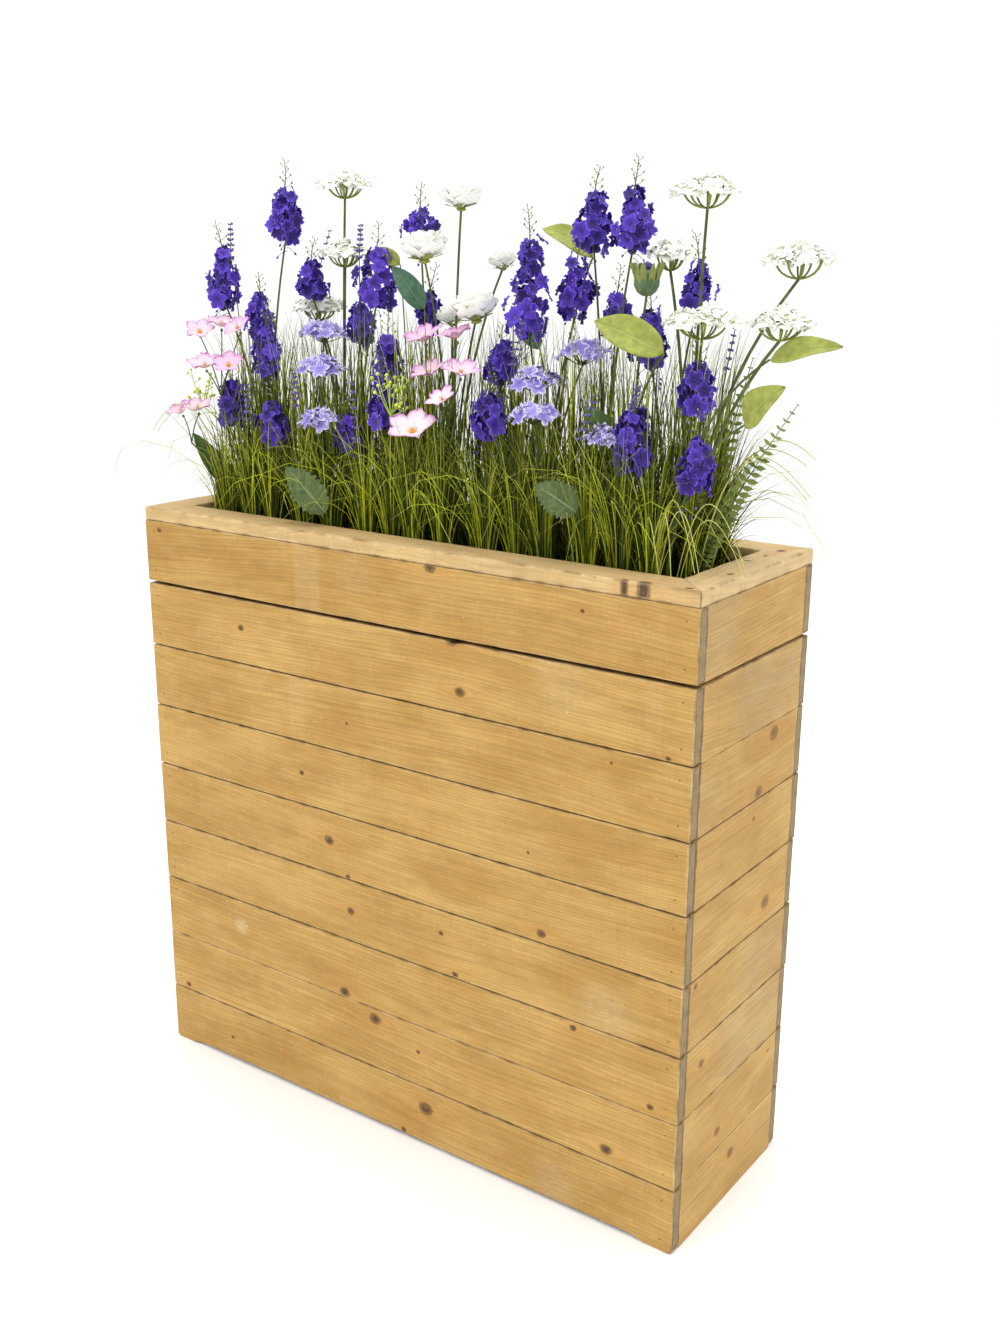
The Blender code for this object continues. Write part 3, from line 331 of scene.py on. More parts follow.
def board_finish(name, order, seed, tone=0.5, knots=(), stain=None, nails=None, pitch=0.0055, bleach=0.0, band=None,
                 marks=(), core=1.0):
    """Softwood for one board. order says which of x, y, z run along, through and across its grain.

    bleach pales all of it, band pales a stretch along it, marks are small rubs of another colour, and a
    core below one makes the knots red brown instead of nearly black."""
    finish, shader, place = new_finish(name, 0.28)
    axes = parts_of(place)
    along, _, across = turned_parts = [axes[axis] for axis in order]
    turned = at(*turned_parts)
    found = {"Bend": 0.0, "Core": 0.0, "Ring": 0.0, "Glow": 0.0}
    for knot in knots:
        made = add_node(place.tree, "ShaderNodeGroup", {"node_tree": wood_knot}, turned, *knot, *found.values())
        found = {key: Value(made.outputs[key]) for key in found}
    grain = add_node(place.tree, "ShaderNodeGroup", {"node_tree": wood_grain}, turned, found["Bend"], seed, pitch)
    feeds = {key: Value(grain.outputs[key]) for key in ("Ring", "Fibre", "Patch")}
    # The wear mark also carries painted shade on the narrow faces, for the gaps between boards.
    feeds.update(Core=found["Core"] * core, Knot_Ring=found["Ring"] * core, Glow=found["Glow"], Tone=tone,
                 Worn=marks_of(shader, "worn")[0], Dirt=cloudy(place, 38.0, 3.0), Bleach=bleach)
    if band:
        middle, half, strength = band
        feeds["Bleach"] = ranged(abs(along - middle), half + 0.005, half - 0.004) * strength
    if stain:
        spot, reach, strength = stain
        near = ranged(place.vector("DISTANCE", spot, output=1), reach, reach * 0.3, 0.0, strength)
        feeds["Stain"] = ((cloudy(place, 30.0, 4.0, 0.65) * 1.6 - 0.45) * near).maths("MAXIMUM", 0.0)
    if nails:
        from_middle, height, half_gap = nails
        hole = ranged(length_of(abs(along) - from_middle, abs(across - height) - half_gap), 0.0019, 0.0009)
        feeds["Knot_Ring"] = hole.maths("MAXIMUM", found["Ring"])
    made = add_node(place.tree, "ShaderNodeGroup", {"node_tree": wood_colour}, **feeds)
    colour, roughness, height = (Value(socket) for socket in made.outputs)
    specks = cloudy(turned.vector("MULTIPLY", (0.25, 1.0, 1.0)), 420.0, 2.0)
    colour = blended(ranged(specks, 0.70, 0.78, 0.0, 0.25 + bleach), colour, (0.150, 0.085, 0.035))
    colour = blended(ranged(specks, 0.31, 0.22, 0.0, 0.50), colour, (0.740, 0.600, 0.370))
    for spot, reach, paint, strength in marks:
        near = ranged(place.vector("DISTANCE", spot, output=1), reach, reach * 0.2, 0.0, strength)
        colour = blended(near * ranged(specks, 0.35, 0.75, 0.3, 1.0), colour, paint)
    finish_on(shader, colour, roughness, height, 0.0007)
    return finish


def sawn_end_finish(name, axis, centre):
    """End grain: arcs of growth rings about a pith outside the board, grey with weather and dust."""
    finish, shader, place = new_finish(name, 0.2, Roughness=0.86)
    axes = parts_of(place)
    course = axes[2] / course_pitch
    swing = made_by(place.tree, "ShaderNodeTexWhiteNoise", {"noise_dimensions": "1D"}, W=course.maths("FLOOR"))
    far = length_of((course.maths("FRACT") - swing) * course_pitch, axes[axis] - centre)
    rings = (far * 300.0 + cloudy(place, 45.0, 3.0)).maths("FRACT")
    dust = cloudy(place, 60.0, 4.0, 0.65)
    colour = blended(rings, (0.345, 0.262, 0.148), (0.250, 0.172, 0.085))
    colour = blended(ranged(dust, 0.40, 0.72), colour, (0.205, 0.165, 0.105))
    # The end is darker at its edges by the wear mark and dust; next to the narrow faces that mark also holds painted
    # gap shade.
    edge = marks_of(shader, "worn")[0] * ranged(dust, 0.25, 0.6, 0.10, 0.70)
    finish_on(shader, blended(edge, colour, (0.070, 0.042, 0.020)), height=rings + dust, relief=0.0005)
    return finish


def marked(piece, **marks):
    """Keeps numbers on a piece's points; one number alone counts for all of them."""
    for label, values in marks.items():
        values = [values] * len(piece.data.vertices) if isinstance(values, float) else values
        piece.data.attributes.new(label, "FLOAT", "POINT").data.foreach_set("value", values)


def loft_board(name, low, high, order, seed, arris=0.0016, finishes=(), mitre=0.0, droop=0.0, feet=None, notch=None,
               grime=0.0):
    """A board with arrises rounded by wear, from its lowest to its highest corner.

    order gives the axes along, through and across. mitre shortens the edge away from the outside of a rim
    board, droop rounds the lower corner of the ends, feet cuts the underside away between two feet, notch
    dips one edge at a place, and the last argument marks the narrow faces that meet the next boards for
    painted shade in the gaps, which the wood colour darkens."""
    first_ring, ring_step, end_inset = 0.012, 0.016, 0.0035
    worn_band, grime_band, notch_reach, cup = 0.0026, 0.0045, 0.0075, 0.00035
    dice = random.Random(seed)
    shift = Vector((dice.uniform(0, 50), dice.uniform(0, 50), dice.uniform(0, 50)))

    def waver(*place):
        return noise.noise(shift + Vector(place))

    along, through, across = order
    start, middle, half = low[along], (low[along] + high[along]) / 2, (high[along] - low[along]) / 2
    thick, wide = (low[through], high[through]), (low[across], high[across])
    near_end = [0.0, 0.0, 0.3 * arris, arris, arris + 0.004]
    between = np.linspace(first_ring, 2 * half - first_ring, max(3, int(2 * half / ring_step)))
    spots = [*near_end, *between, *(2 * half - spot for spot in reversed(near_end))]
    points, worn = [], []
    for index, spot in enumerate(spots):
        from_end = min(index, len(spots) - 1 - index)
        pull = (1.0, 1.0, 0.35)[from_end] * arris if from_end < 3 else 0.0
        to_end = min(spot, 2 * half - spot)
        u = start + spot
        outline = []
        for corner, (side_t, side_a) in enumerate(((-1, -1), (-1, 1), (1, 1), (1, -1))):
            chip = max(0.0, waver(u * 31.0, corner * 3.1, 5.0)) ** 2
            radius = arris * (1.0 + 0.45 * waver(u * 9.0, corner * 7.3, 0.0) + 3.0 * chip)
            sag = cup * waver(u * 5.0, side_a * 4.0, 9.0)
            edge_t = thick[side_t > 0] - side_t * pull
            edge_a = wide[side_a > 0] - side_a * (pull + abs(sag))
            if side_a < 0 and droop:
                close = max(0.0, droop - to_end) / droop
                edge_a += droop * (1.0 - sqrt(max(0.0, 1.0 - close * close)))
            if side_a < 0 and feet:
                foot_long, relief = feet
                edge_a += relief * min(1.0, max(0.0, (to_end - foot_long) / relief))
            if notch and notch[1] == side_a:
                edge_a -= side_a * exp(-((u - notch[0]) / notch_reach) ** 2) * notch[2]
            centre_t, centre_a = edge_t - side_t * radius, edge_a - side_a * radius
            turns = [radians(270 - 90 * corner - 30 * step) for step in range(4)]
            arc = [(centre_t + radius * cos(turn), centre_a + radius * sin(turn), 1.0) for turn in turns]
            wide_row = (edge_t, centre_a - side_a * worn_band, 0.0)
            # The narrow face takes the gap mark, which the wood colour paints as shade in the gap to the next board.
            thin_row = (centre_t - side_t * grime_band, edge_a, grime)
            outline += [thin_row, *arc, wide_row] if corner in (0, 2) else [wide_row, *arc, thin_row]
        if from_end == 0:
            middle_t, middle_a = sum(thick) / 2, sum(wide) / 2
            in_t, in_a = (1 - end_inset / ((pair[1] - pair[0]) / 2) for pair in (thick, wide))
            outline = [(middle_t + (t - middle_t) * in_t, middle_a + (a - middle_a) * in_a, 0.0) for t, a, _ in outline]
        for t, a, rim in outline:
            reach = half - abs(mitre) * abs(a - wide[mitre < 0])
            place = [0.0, 0.0, 0.0]
            place[along], place[through], place[across] = middle + (u - middle) / half * reach, t, a
            points.append(place)
            worn.append(max(rim, float(from_end in (1, 2, 3))))
    around, last = len(points) // len(spots), len(spots) - 1
    faces = [(ring * around + k, ring * around + (k + 1) % around, (ring + 1) * around + (k + 1) % around,
              (ring + 1) * around + k) for ring in range(last) for k in range(around)]
    faces += [tuple(reversed(range(around))), tuple(range(last * around, (last + 1) * around))]
    piece = mesh_piece(name, points, faces, *finishes)
    marked(piece, worn=worn)
    whole = bmesh.new()
    whole.from_mesh(piece.data)
    bmesh.ops.recalc_face_normals(whole, faces=whole.faces)
    whole.to_mesh(piece.data)
    whole.free()
    for face in piece.data.polygons:
        at_end = len(face.vertices) > 4 or face.index < around or (last - 1) * around <= face.index
        face.use_smooth = not at_end
        if at_end and len(finishes) > 1:
            face.material_index = 1
    return piece


def long_boards():
    """The front boards with their own knots, and the back boards with scattered ones."""
    front_knots = {
        9: [(-0.468, 0.916, 0.0030), (0.081, 0.9275, 0.0065), (0.330, 0.902, 0.0022)],
        8: [(-0.294, 0.782, 0.0040), (0.132, 0.756, 0.0055), (0.463, 0.728, 0.0026), (0.117, 0.8285, 0.0062)],
        7: [(-0.080, 0.668, 0.0018), (0.380, 0.705, 0.0016)],
        6: [(-0.175, 0.569, 0.0030), (0.250, 0.545, 0.0016)],
        5: [(-0.122, 0.470, 0.0060), (0.274, 0.428, 0.0048), (-0.085, 0.4175, 0.0032)],
        4: [(-0.081, 0.361, 0.0046), (0.096, 0.376, 0.0028), (0.122, 0.316, 0.0036)],
        3: [(-0.098, 0.216, 0.0062), (0.330, 0.299, 0.0036), (0.457, 0.221, 0.0036)],
        2: [(-0.036, 0.189, 0.0070), (-0.463, 0.112, 0.0036), (0.050, 0.161, 0.0026), (0.389, 0.126, 0.0062)],
        1: [(-0.359, 0.044, 0.0026), (0.064, 0.066, 0.0085), (0.019, 0.012, 0.0034)],
    }
    bands = {9: (-0.152, 0.024, 0.15), 7: (-0.180, 0.016, 0.08), 8: (0.44, 0.012, 0.06)}
    rubs = {
        1: [((-0.243, -0.166, 0.054), 0.011, (0.62, 0.16, 0.10), 0.55),
            ((0.200, -0.166, 0.045), 0.012, (0.60, 0.24, 0.12), 0.35),
            ((0.30, -0.166, 0.030), 0.06, (0.66, 0.58, 0.44), 0.22)],
        3: [((-0.324, -0.166, 0.264), 0.022, (0.74, 0.62, 0.42), 0.5)],
        4: [((0.38, -0.166, 0.335), 0.07, (0.72, 0.60, 0.40), 0.25)],
        8: [((0.30, -0.166, 0.80), 0.07, (0.72, 0.60, 0.40), 0.16)],
        9: [((0.385, -0.166, 0.885), 0.018, (0.55, 0.20, 0.08), 0.4),
            ((-0.06, -0.166, 0.90), 0.05, (0.70, 0.55, 0.32), 0.2)],
    }
    tones = {9: 0.95, 8: 0.35, 7: 0.50, 6: 0.50, 5: 0.55, 4: 0.42, 3: 0.60, 2: 0.25, 1: 0.52}
    nail_line, nail_half_gap = 0.481, 0.031
    uneven, squeeze, wide_squeeze = 0.0016, 0.0004, 0.0017
    dice = random.Random(41)
    for side, pith in (("front", -0.15), ("back", 0.15)):
        front = side == "front"
        sawn = sawn_end_finish(f"sawn ends of the {side} boards", 1, pith)
        for course in range(1, 10):
            low, high = (Vector(corner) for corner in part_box(f"{side}_board_{course}"))
            low.x += dice.uniform(0.0, uneven)
            high.x -= dice.uniform(0.0, uneven)
            if course < 9:
                high.z += wide_squeeze if course == 2 else squeeze
            if 1 < course < 9:
                low.z -= squeeze
            knots = front_knots[course] if front else [
                (dice.uniform(-0.46, 0.46), dice.uniform(low.z + 0.012, high.z - 0.012), dice.uniform(0.0024, 0.0068))
                for _ in range(3)]
            finish = board_finish(f"softwood of {side} board {course}", (0, 1, 2), dice.uniform(0, 90),
                                  tones[course] + dice.uniform(-0.05, 0.05), knots,
                                  nails=(nail_line, (low.z + high.z) / 2, nail_half_gap),
                                  pitch=dice.uniform(0.0042, 0.0075), band=bands.get(course) if front else None,
                                  marks=rubs.get(course, ()) if front else ())
            # The narrow faces of each course are marked for painted shade in the gaps between courses.
            piece = loft_board(f"{side}_course_{course}", low, high, (0, 1, 2), dice.random(), 0.0012, (finish, sawn),
                               feet=(0.055, 0.006) if course == 1 else None, droop=0.006 if course == 1 else 0.0,
                               notch=(0.117, 1, 0.0032) if front and course == 8 else None, grime=1.3)
            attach(piece, "root")
            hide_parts(f"{side}_board_{course}")


long_boards()


# ---- Box ends -----------------------------------------------------------------------------
# Nine short boards of the same wood close each end, set between the front and back boards and
# nailed to two square posts in the corners. A bearer across the posts carries the trough.

def joined(name, pieces):
    """One piece from several, with each one's materials and attributes kept."""
    for other in bpy.context.selected_objects:
        other.select_set(False)
    for piece in pieces:
        piece.select_set(True)
    bpy.context.view_layer.objects.active = pieces[0]
    bpy.ops.object.join()
    pieces[0].name = pieces[0].data.name = name
    return pieces[0]


def box_end(side_name, side):
    """One end as a single piece: boards, posts and bearer."""
    board_width, board_thickness, board_space, top_gap = 0.1009, 0.0195, 0.0200, 0.0025
    post_side, bearer_width, bearer_depth, bearer_inset = 0.045, 0.070, 0.022, 0.0448
    low, high = (Vector(corner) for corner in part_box(f"end_panel_{side_name}"))
    outer = side * max(abs(low.x), abs(high.x))
    inside = outer - side * board_space
    dice = random.Random(7 + side)
    if side > 0:
        knots = {7: [(0.071, 0.706, 0.0085), (0.031, 0.630, 0.0075)], 6: [(0.021, 0.594, 0.0030)],
                 5: [(0.075, 0.448, 0.0080)], 4: [(-0.131, 0.403, 0.0036)], 3: [(-0.103, 0.273, 0.0050)],
                 2: [(-0.042, 0.132, 0.0060), (0.120, 0.185, 0.0020)], 1: [(0.006, 0.070, 0.0064)]}
        stains = {9: ((0.5, -0.115, 0.900), 0.10, 1.0), 8: ((0.5, 0.045, 0.800), 0.16, 1.0),
                  7: ((0.5, -0.12, 0.66), 0.07, 0.5), 4: ((0.5, 0.075, 0.345), 0.13, 0.8),
                  3: ((0.5, 0.060, 0.262), 0.15, 1.0)}
    else:
        knots = {course: [(dice.uniform(-0.13, 0.13), (course - 1) * course_pitch + dice.uniform(0.015, 0.085),
                           dice.uniform(0.002, 0.0075)) for _ in range(dice.choice((1, 1, 2)))]
                 for course in range(1, 10)}
        stains = {}

    def part(name, x, x_depth, y_low, y_high, z_low, z_high, order, arris, finish, **more):
        x_low, x_high = sorted((x, x - side * x_depth))
        return loft_board(name, (x_low, y_low, z_low), (x_high, y_high, z_high), order, dice.random(), arris,
                          (finish,), **more)

    tight = {8: 0.0010, 2: 0.0010, 3: 0.0006}
    pieces = []
    for course in range(1, 10):
        foot = (course - 1) * course_pitch
        bottom = foot + (top_gap if course == 9 else 0.0) - tight.get(course, 0.0)
        face = outer - side * dice.uniform(0.0, 0.0008)
        finish = board_finish(f"softwood of {side_name} end board {course}", (1, 0, 2), dice.uniform(0, 90),
                              dice.uniform(0.35, 0.75), knots.get(course, ()), stains.get(course),
                              pitch=dice.uniform(0.0045, 0.0080), bleach=0.05, core=0.7)
        # The narrow faces of the end boards are marked for painted shade in the gaps, more weakly than on the long
        # boards.
        pieces.append(part(f"end_course_{side_name}_{course}", face, board_thickness, low.y + 0.0003, high.y - 0.0003,
                           max(0.0, bottom), foot + board_width + tight.get(course + 1, 0.0), (1, 0, 2), 0.0007, finish,
                           grime=0.7))
    plain = board_finish(f"softwood of the {side_name} posts", (2, 0, 1), 12.0 + side, 0.6)
    for y_low, y_high in ((low.y, low.y + post_side), (high.y - post_side, high.y)):
        pieces.append(part(f"post_{side_name}_{y_low > 0:d}", inside, post_side, y_low, y_high, 0.0, high.z, (2, 0, 1),
                           0.002, plain))
    bearer_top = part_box("trough")[0].z - 0.0003
    bearer_wood = board_finish(f"softwood of the {side_name} bearer", (1, 2, 0), 31.0 + side, 0.5)
    pieces.append(part(f"bearer_{side_name}", inside, bearer_width, low.y + bearer_inset, high.y - bearer_inset,
                       bearer_top - bearer_depth, bearer_top, (1, 2, 0), 0.0015, bearer_wood))
    return joined(f"end_{side_name}", pieces)


for end_name, end_side in (("left", -1), ("right", 1)):
    end_piece = box_end(end_name, end_side)
    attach(end_piece, "root")
    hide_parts(f"end_panel_{end_name}")


# ---- Mitred rim ---------------------------------------------------------------------------
# Four flat boards of the same wood lie on the top edges, flush with the outside and mitred at
# the corners. Their top is paler than the walls, and most of its knots are near the outer edges.

def rim_boards():
    """The four boards of the rim, each cut at 45 degrees at both ends."""
    rim = {
        "front": ((0, 2, 1), 1.0, 3.1, 0.25, 0.42, [(0.391, -0.165, 0.0036), (0.419, -0.164, 0.0062),
                                                    (0.478, -0.158, 0.0036), (-0.21, -0.132, 0.0020)]),
        "back": ((0, 2, 1), -1.0, 14.2, 0.30, 0.42, [(-0.310, 0.140, 0.0050), (0.215, 0.128, 0.0036)]),
        "left": ((1, 2, 0), 1.0, 25.3, 0.35, 0.42, [(0.035, -0.470, 0.0040)]),
        "right": ((1, 2, 0), -1.0, 36.4, 0.15, 0.62, [(0.122, 0.4705, 0.0048), (0.078, 0.468, 0.0026),
                                                      (-0.055, 0.482, 0.0030)]),
    }
    for name, (order, mitre, seed, tone, bleach, knots) in rim.items():
        finish = board_finish(f"softwood of the {name} rim", order, seed, tone, knots, pitch=0.0046, bleach=bleach)
        piece = loft_board(f"rim_board_{name}", *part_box(f"rim_{name}"), order, seed, 0.0019, (finish,), mitre=mitre)
        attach(piece, "root")
        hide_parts(f"rim_{name}")


rim_boards()


# ---- Trough and filling -------------------------------------------------------------------
# A black plastic trough hangs on the bearers close under the rim. It holds a dark filling of
# bark and peat, in which the stems and the strips of grass stand.

def trough_and_filling():
    """New finishes for the trough and the filling, whose shapes are right as they are."""
    plastic, shader, place = new_finish("black trough plastic", 0.4)
    scuffs = cloudy(place, 70.0, 4.0, 0.6)
    finish_on(shader, blended(ranged(scuffs, 0.45, 0.75), (0.020, 0.021, 0.021), (0.060, 0.056, 0.048)),
              ranged(scuffs, 0.3, 0.7, 0.42, 0.62), cloudy(place, 900.0), 0.0002)
    peat, shader, place = new_finish("bark and peat", 0.2)
    tone = cloudy(place, 60.0, 3.0)
    colour = blended(tone, (0.030, 0.018, 0.009), (0.085, 0.050, 0.024))
    colour = blended(ranged(cloudy(place, 16.0, 2.0), 0.52, 0.66), colour, (0.050, 0.062, 0.014))
    crumbs = made_by(place.tree, "ShaderNodeTexVoronoi", Vector=place, Scale=170.0)
    finish_on(shader, colour, ranged(tone, 0.3, 0.7, 0.85, 0.97), crumbs, 0.004)
    for node, finish in (("trough", plastic), ("soil", peat)):
        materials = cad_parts[node].data.materials
        materials.clear()
        materials.append(finish)


trough_and_filling()


# ---- Grass --------------------------------------------------------------------------------
# Artificial grass in clumps along both long sides and the ends of the trough: thin moulded
# blades in yellow green, thick at the foot, with bent pale tips and longer wiry ones between.

clump_base = 0.882


def settled(piece):
    """Makes the mesh that a piece's modifier gives into the piece's own."""
    graph = bpy.context.evaluated_depsgraph_get()
    mesh = bpy.data.meshes.new_from_object(piece.evaluated_get(graph), preserve_all_data_layers=True, depsgraph=graph)
    piece.modifiers.clear()
    old, piece.data = piece.data, mesh
    bpy.data.meshes.remove(old)
    mesh.name = piece.name
    return piece


def grown_by(tree, name, points, values, edges=(), faces=(), **marks):
    """Runs a tree on a base mesh with marks on its points, and gives the result as a plain mesh object."""
    base = bpy.data.meshes.new(name)
    base.from_pydata([tuple(point) for point in points], edges, faces)
    for label, data in marks.items():
        data = np.asarray(data, float)
        kind, field = ("FLOAT_VECTOR", "vector") if data.ndim > 1 else ("FLOAT", "value")
        base.attributes.new(label, kind, "POINT").data.foreach_set(field, data.ravel())
    holder = bpy.data.objects.new(name, base)
    bpy.context.scene.collection.objects.link(holder)
    modifier = holder.modifiers.new("grow", "NODES")
    modifier.node_group = tree
    for item in tree.interface.items_tree:
        if item.name in values:
            modifier[item.identifier] = values[item.name]
    return settled(holder)


def finished(group, geometry, finish):
    """Ends a Geometry Nodes tree with plain geometry in its finish."""
    whole = made_by(group, "GeometryNodeRealizeInstances", None, geometry)
    return gives(group, Geometry=made_by(group, "GeometryNodeSetMaterial", Geometry=whole, Material=finish))


def mark(group, label, kind="FLOAT"):
    """Reads a mark on the points."""
    return made_by(group, "GeometryNodeInputNamedAttribute", {"data_type": kind}, Name=label)


def blade_tree():
    """Blades that rise from points on clump bases and lean away from each clump's middle."""
    group, bases, density, seed, shortest, tallest, spread, droop, width, dullest, brightest, finish = new_group(
        "grass blades", "GeometryNodeTree", Geometry="Geometry", Density=1000.0, Seed=1, Shortest=0.12, Tallest=0.2,
        Spread=0.3, Droop=0.2, Width=0.0012, Dullest=0.0, Brightest=1.0, Finish="Material")
    one_blade = made_by(group, "GeometryNodeCurveOfPoint")

    def drawn(low, high, lot, who=one_blade):
        made = add_node(group, "FunctionNodeRandomValue", {"data_type": "FLOAT"})
        for index, value in ((2, low), (3, high), (7, who), (8, lot)):
            feed(made.inputs[index], value)
        return Value(made.outputs[1])

    spots = made_by(group, "GeometryNodeDistributePointsOnFaces", Mesh=bases, Density=density, Seed=seed)
    line = made_by(group, "GeometryNodeResampleCurve", Curve=made_by(group, "GeometryNodeCurvePrimitiveLine"), Count=9)
    stood = made_by(group, "GeometryNodeInstanceOnPoints", Points=spots, Instance=line,
                    Scale=at(1.0, 1.0, drawn(shortest, tallest, 11, None)))
    blades = made_by(group, "GeometryNodeRealizeInstances", None, stood)
    share = made_by(group, "GeometryNodeSplineParameter")
    turn = drawn(0.0, 6.2832, 23)
    wild = at(turn.maths("COSINE"), turn.maths("SINE"), 0.0).vector("SCALE", Scale=drawn(0.05, 0.6, 31))
    rise = parts_of(made_by(group, "GeometryNodeInputPosition"))[2] - clump_base
    tip = share ** 4.0 * (droop * drawn(0.0, 1.0, 41))
    away = mark(group, "away", "FLOAT_VECTOR").vector("ADD", wild)
    lean = away.vector("SCALE", Scale=rise * (share ** 1.6 * spread + tip))
    farthest = 0.19, 0.065
    held = [(side / reach).maths("TANH") * reach for side, reach in zip(parts_of(lean), farthest)]
    blades = made_by(group, "GeometryNodeSetPosition", Geometry=blades, Offset=at(*held, rise * tip * -0.75))
    for label, value in (("tint", drawn(dullest, brightest, 67)), ("height_share", share)):
        blades = made_by(group, "GeometryNodeStoreNamedAttribute", {"data_type": "FLOAT", "domain": "POINT"},
                         Geometry=blades, Name=label, Value=value)
    thin = (share ** 2.5 * -1.0 + 1.0) * width * drawn(0.3, 0.62, 53)
    section = made_by(group, "GeometryNodeCurvePrimitiveCircle", Resolution=3, Radius=1.0)
    section = made_by(group, "GeometryNodeTransform", Geometry=section, Scale=(1.0, 0.5, 1.0))
    thinnest = 0.00014
    swept = made_by(group, "GeometryNodeCurveToMesh", Curve=blades, Profile_Curve=section, Fill_Caps=True,
                    Scale=thin + thinnest)
    return finished(group, swept, finish)


def grass_finish():
    """Moulded grass: dark at the foot, partly its own darker olive and partly painted shade from the clump, yellow
    green above, pale at the tips, each blade its own tint.
    """
    finish, shader, place = new_finish("grass blades", 0.12, Roughness=0.6)
    share, tint = marks_of(shader, "height_share", "tint")
    lot = ranged(tint, 0.15, 1.0) ** 1.95
    colour = blended(lot, (0.024, 0.044, 0.004), (0.560, 0.610, 0.026))
    # The near-black foot colour is partly a darker olive and partly painted shade among the blades of a clump.
    foot_colour_and_shade = blended(lot, (0.006, 0.011, 0.001), (0.220, 0.250, 0.010))
    colour = blended(ranged(share, 0.02, 0.34), foot_colour_and_shade, colour)
    colour = blended(ranged(share, 0.62, 1.0) * ranged(tint, 0.3, 1.0, 0.15, 0.85), colour, (0.56, 0.60, 0.15))
    streaks = cloudy(place, 120.0, 2.0)
    colour = blended(ranged(streaks, 0.4, 0.7, 0.0, 0.4), colour, (0.055, 0.080, 0.010))
    finish_on(shader, colour, height=streaks, relief=0.0004)
    return finish


def clump_bases(clumps):
    """Small oval bases as a mesh, with the direction away from the middle kept on each point."""
    points, faces, away = [], [], []
    for x, y, long, deep, push_x, push_y in clumps:
        first = len(points)
        points.append((x, y, clump_base))
        away.append((push_x, push_y, 0.0))
        for k in range(6):
            turn = pi / 3 * k
            points.append((x + long * cos(turn), y + deep * sin(turn), clump_base))
            away.append((cos(turn) + push_x, sin(turn) + push_y, 0.0))
            faces.append((first, first + 1 + k, first + 1 + (k + 1) % 6))
    return {"points": points, "faces": faces, "away": away}


def grass():
    """The front, back and end strips: each is one piece of fanned clumps and of straight wiry reeds."""
    tree, finish = blade_tree(), grass_finish()
    dice = random.Random(11)
    half_run, front_pitch, back_pitch = 0.416, 0.1664, 0.2773
    row, end_row, end_reeds, reed_base = 0.092, 0.412, 0.408, 0.008
    strips = []
    for k in range(5):
        middle = -half_run + (k + 0.5) * front_pitch
        fans = [(middle + side * 0.0555 + dice.uniform(-0.011, 0.011), -row + dice.uniform(-0.004, 0.003),
                 dice.uniform(0.012, 0.021), dice.uniform(0.010, 0.013), dice.uniform(-0.25, 0.25), -0.10)
                for side in (-1, 0, 1)]
        reeds = [(middle + (j - 2.5) * 0.028 + dice.uniform(-0.010, 0.010), dice.uniform(-0.055, 0.000),
                  reed_base, reed_base, 0.0, 0.0) for j in range(6)]
        strips.append((f"grass_front_{k + 1}", fans, reeds))
    for k in range(3):
        middle = -half_run + (k + 0.5) * back_pitch
        fans = [(middle + (j - 1) * 0.090 + dice.uniform(-0.008, 0.008), row + dice.uniform(-0.003, 0.004),
                 dice.uniform(0.020, 0.027), dice.uniform(0.011, 0.014), dice.uniform(-0.15, 0.15), 0.10)
                for j in range(3)]
        reeds = [(middle + (j - 5) * 0.0255 + dice.uniform(-0.010, 0.010), dice.uniform(0.012, 0.080),
                  reed_base, reed_base, 0.0, 0.0) for j in range(11)]
        strips.append((f"grass_back_{k + 1}", fans, reeds))
    for name, side, lean in (("grass_left", -1, 0.05), ("grass_right", 1, 0.28)):
        fans = [(side * end_row, 0.006 + (j - 1) * 0.040, 0.009, 0.015, lean * side, dice.uniform(-0.2, 0.1))
                for j in range(3)]
        reeds = [(side * end_reeds, 0.010 + (j - 1) * 0.042, reed_base, reed_base, 2 * lean * side, 0.0)
                 for j in range(3)]
        strips.append((name, fans, reeds))
    titles = ("Density", "Shortest", "Tallest", "Spread", "Droop", "Width", "Dullest", "Brightest")
    kinds = {"fan": (128000.0, 0.120, 0.272, 0.22, 0.16, 0.0031, 0.05, 1.0),
             "arch": (28000.0, 0.190, 0.295, 0.40, 1.00, 0.0021, 0.55, 1.0),
             "reed": (165000.0, 0.190, 0.400, 0.09, 0.10, 0.0034, 0.20, 0.92),
             "low": (120000.0, 0.080, 0.200, 0.25, 0.30, 0.0031, 0.0, 0.55)}
    for order, (name, fans, reeds) in enumerate(strips):
        parts = []
        for number, (kind, sizes) in enumerate(kinds.items()):
            values = dict(zip(titles, sizes), Seed=order * 7 + number, Finish=finish)
            parts.append(grown_by(tree, f"{name}_{kind}", values=values,
                                  **clump_bases(fans if kind in ("fan", "arch") else reeds)))
        piece = joined(f"{name}_blades", parts)
        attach(piece, "root")
        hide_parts(name)


grass()


# ---- Delphiniums --------------------------------------------------------------------------
# Ten bunches of artificial delphiniums. Each plastic stem is set in the filling and carries a
# loose head of violet cloth florets with five petals, hanging buds under it and a thin bud tip.

filling_top = 0.884


def outward(turn, rise=0.0):
    """A level step of one at a turn, with a rise."""
    return Vector((cos(turn), sin(turn), rise))


def up(height):
    """A step straight up."""
    return Vector((0, 0, height))


def bowed(start, bend, end, steps=6):
    """Points on a curve from start to end that is drawn towards bend."""
    return [start.lerp(bend, t).lerp(bend.lerp(end, t), t) for t in (step / steps for step in range(steps + 1))]


def stem_route(foot, top, lean=0.6, steps=12):
    """Points on a stem that leaves the filling upright and bends over towards its bloom."""
    root, top = Vector((*foot, filling_top)), Vector(top)
    return bowed(root, Vector((root.x, root.y, root.z + (top.z - root.z) * lean)), top, steps)


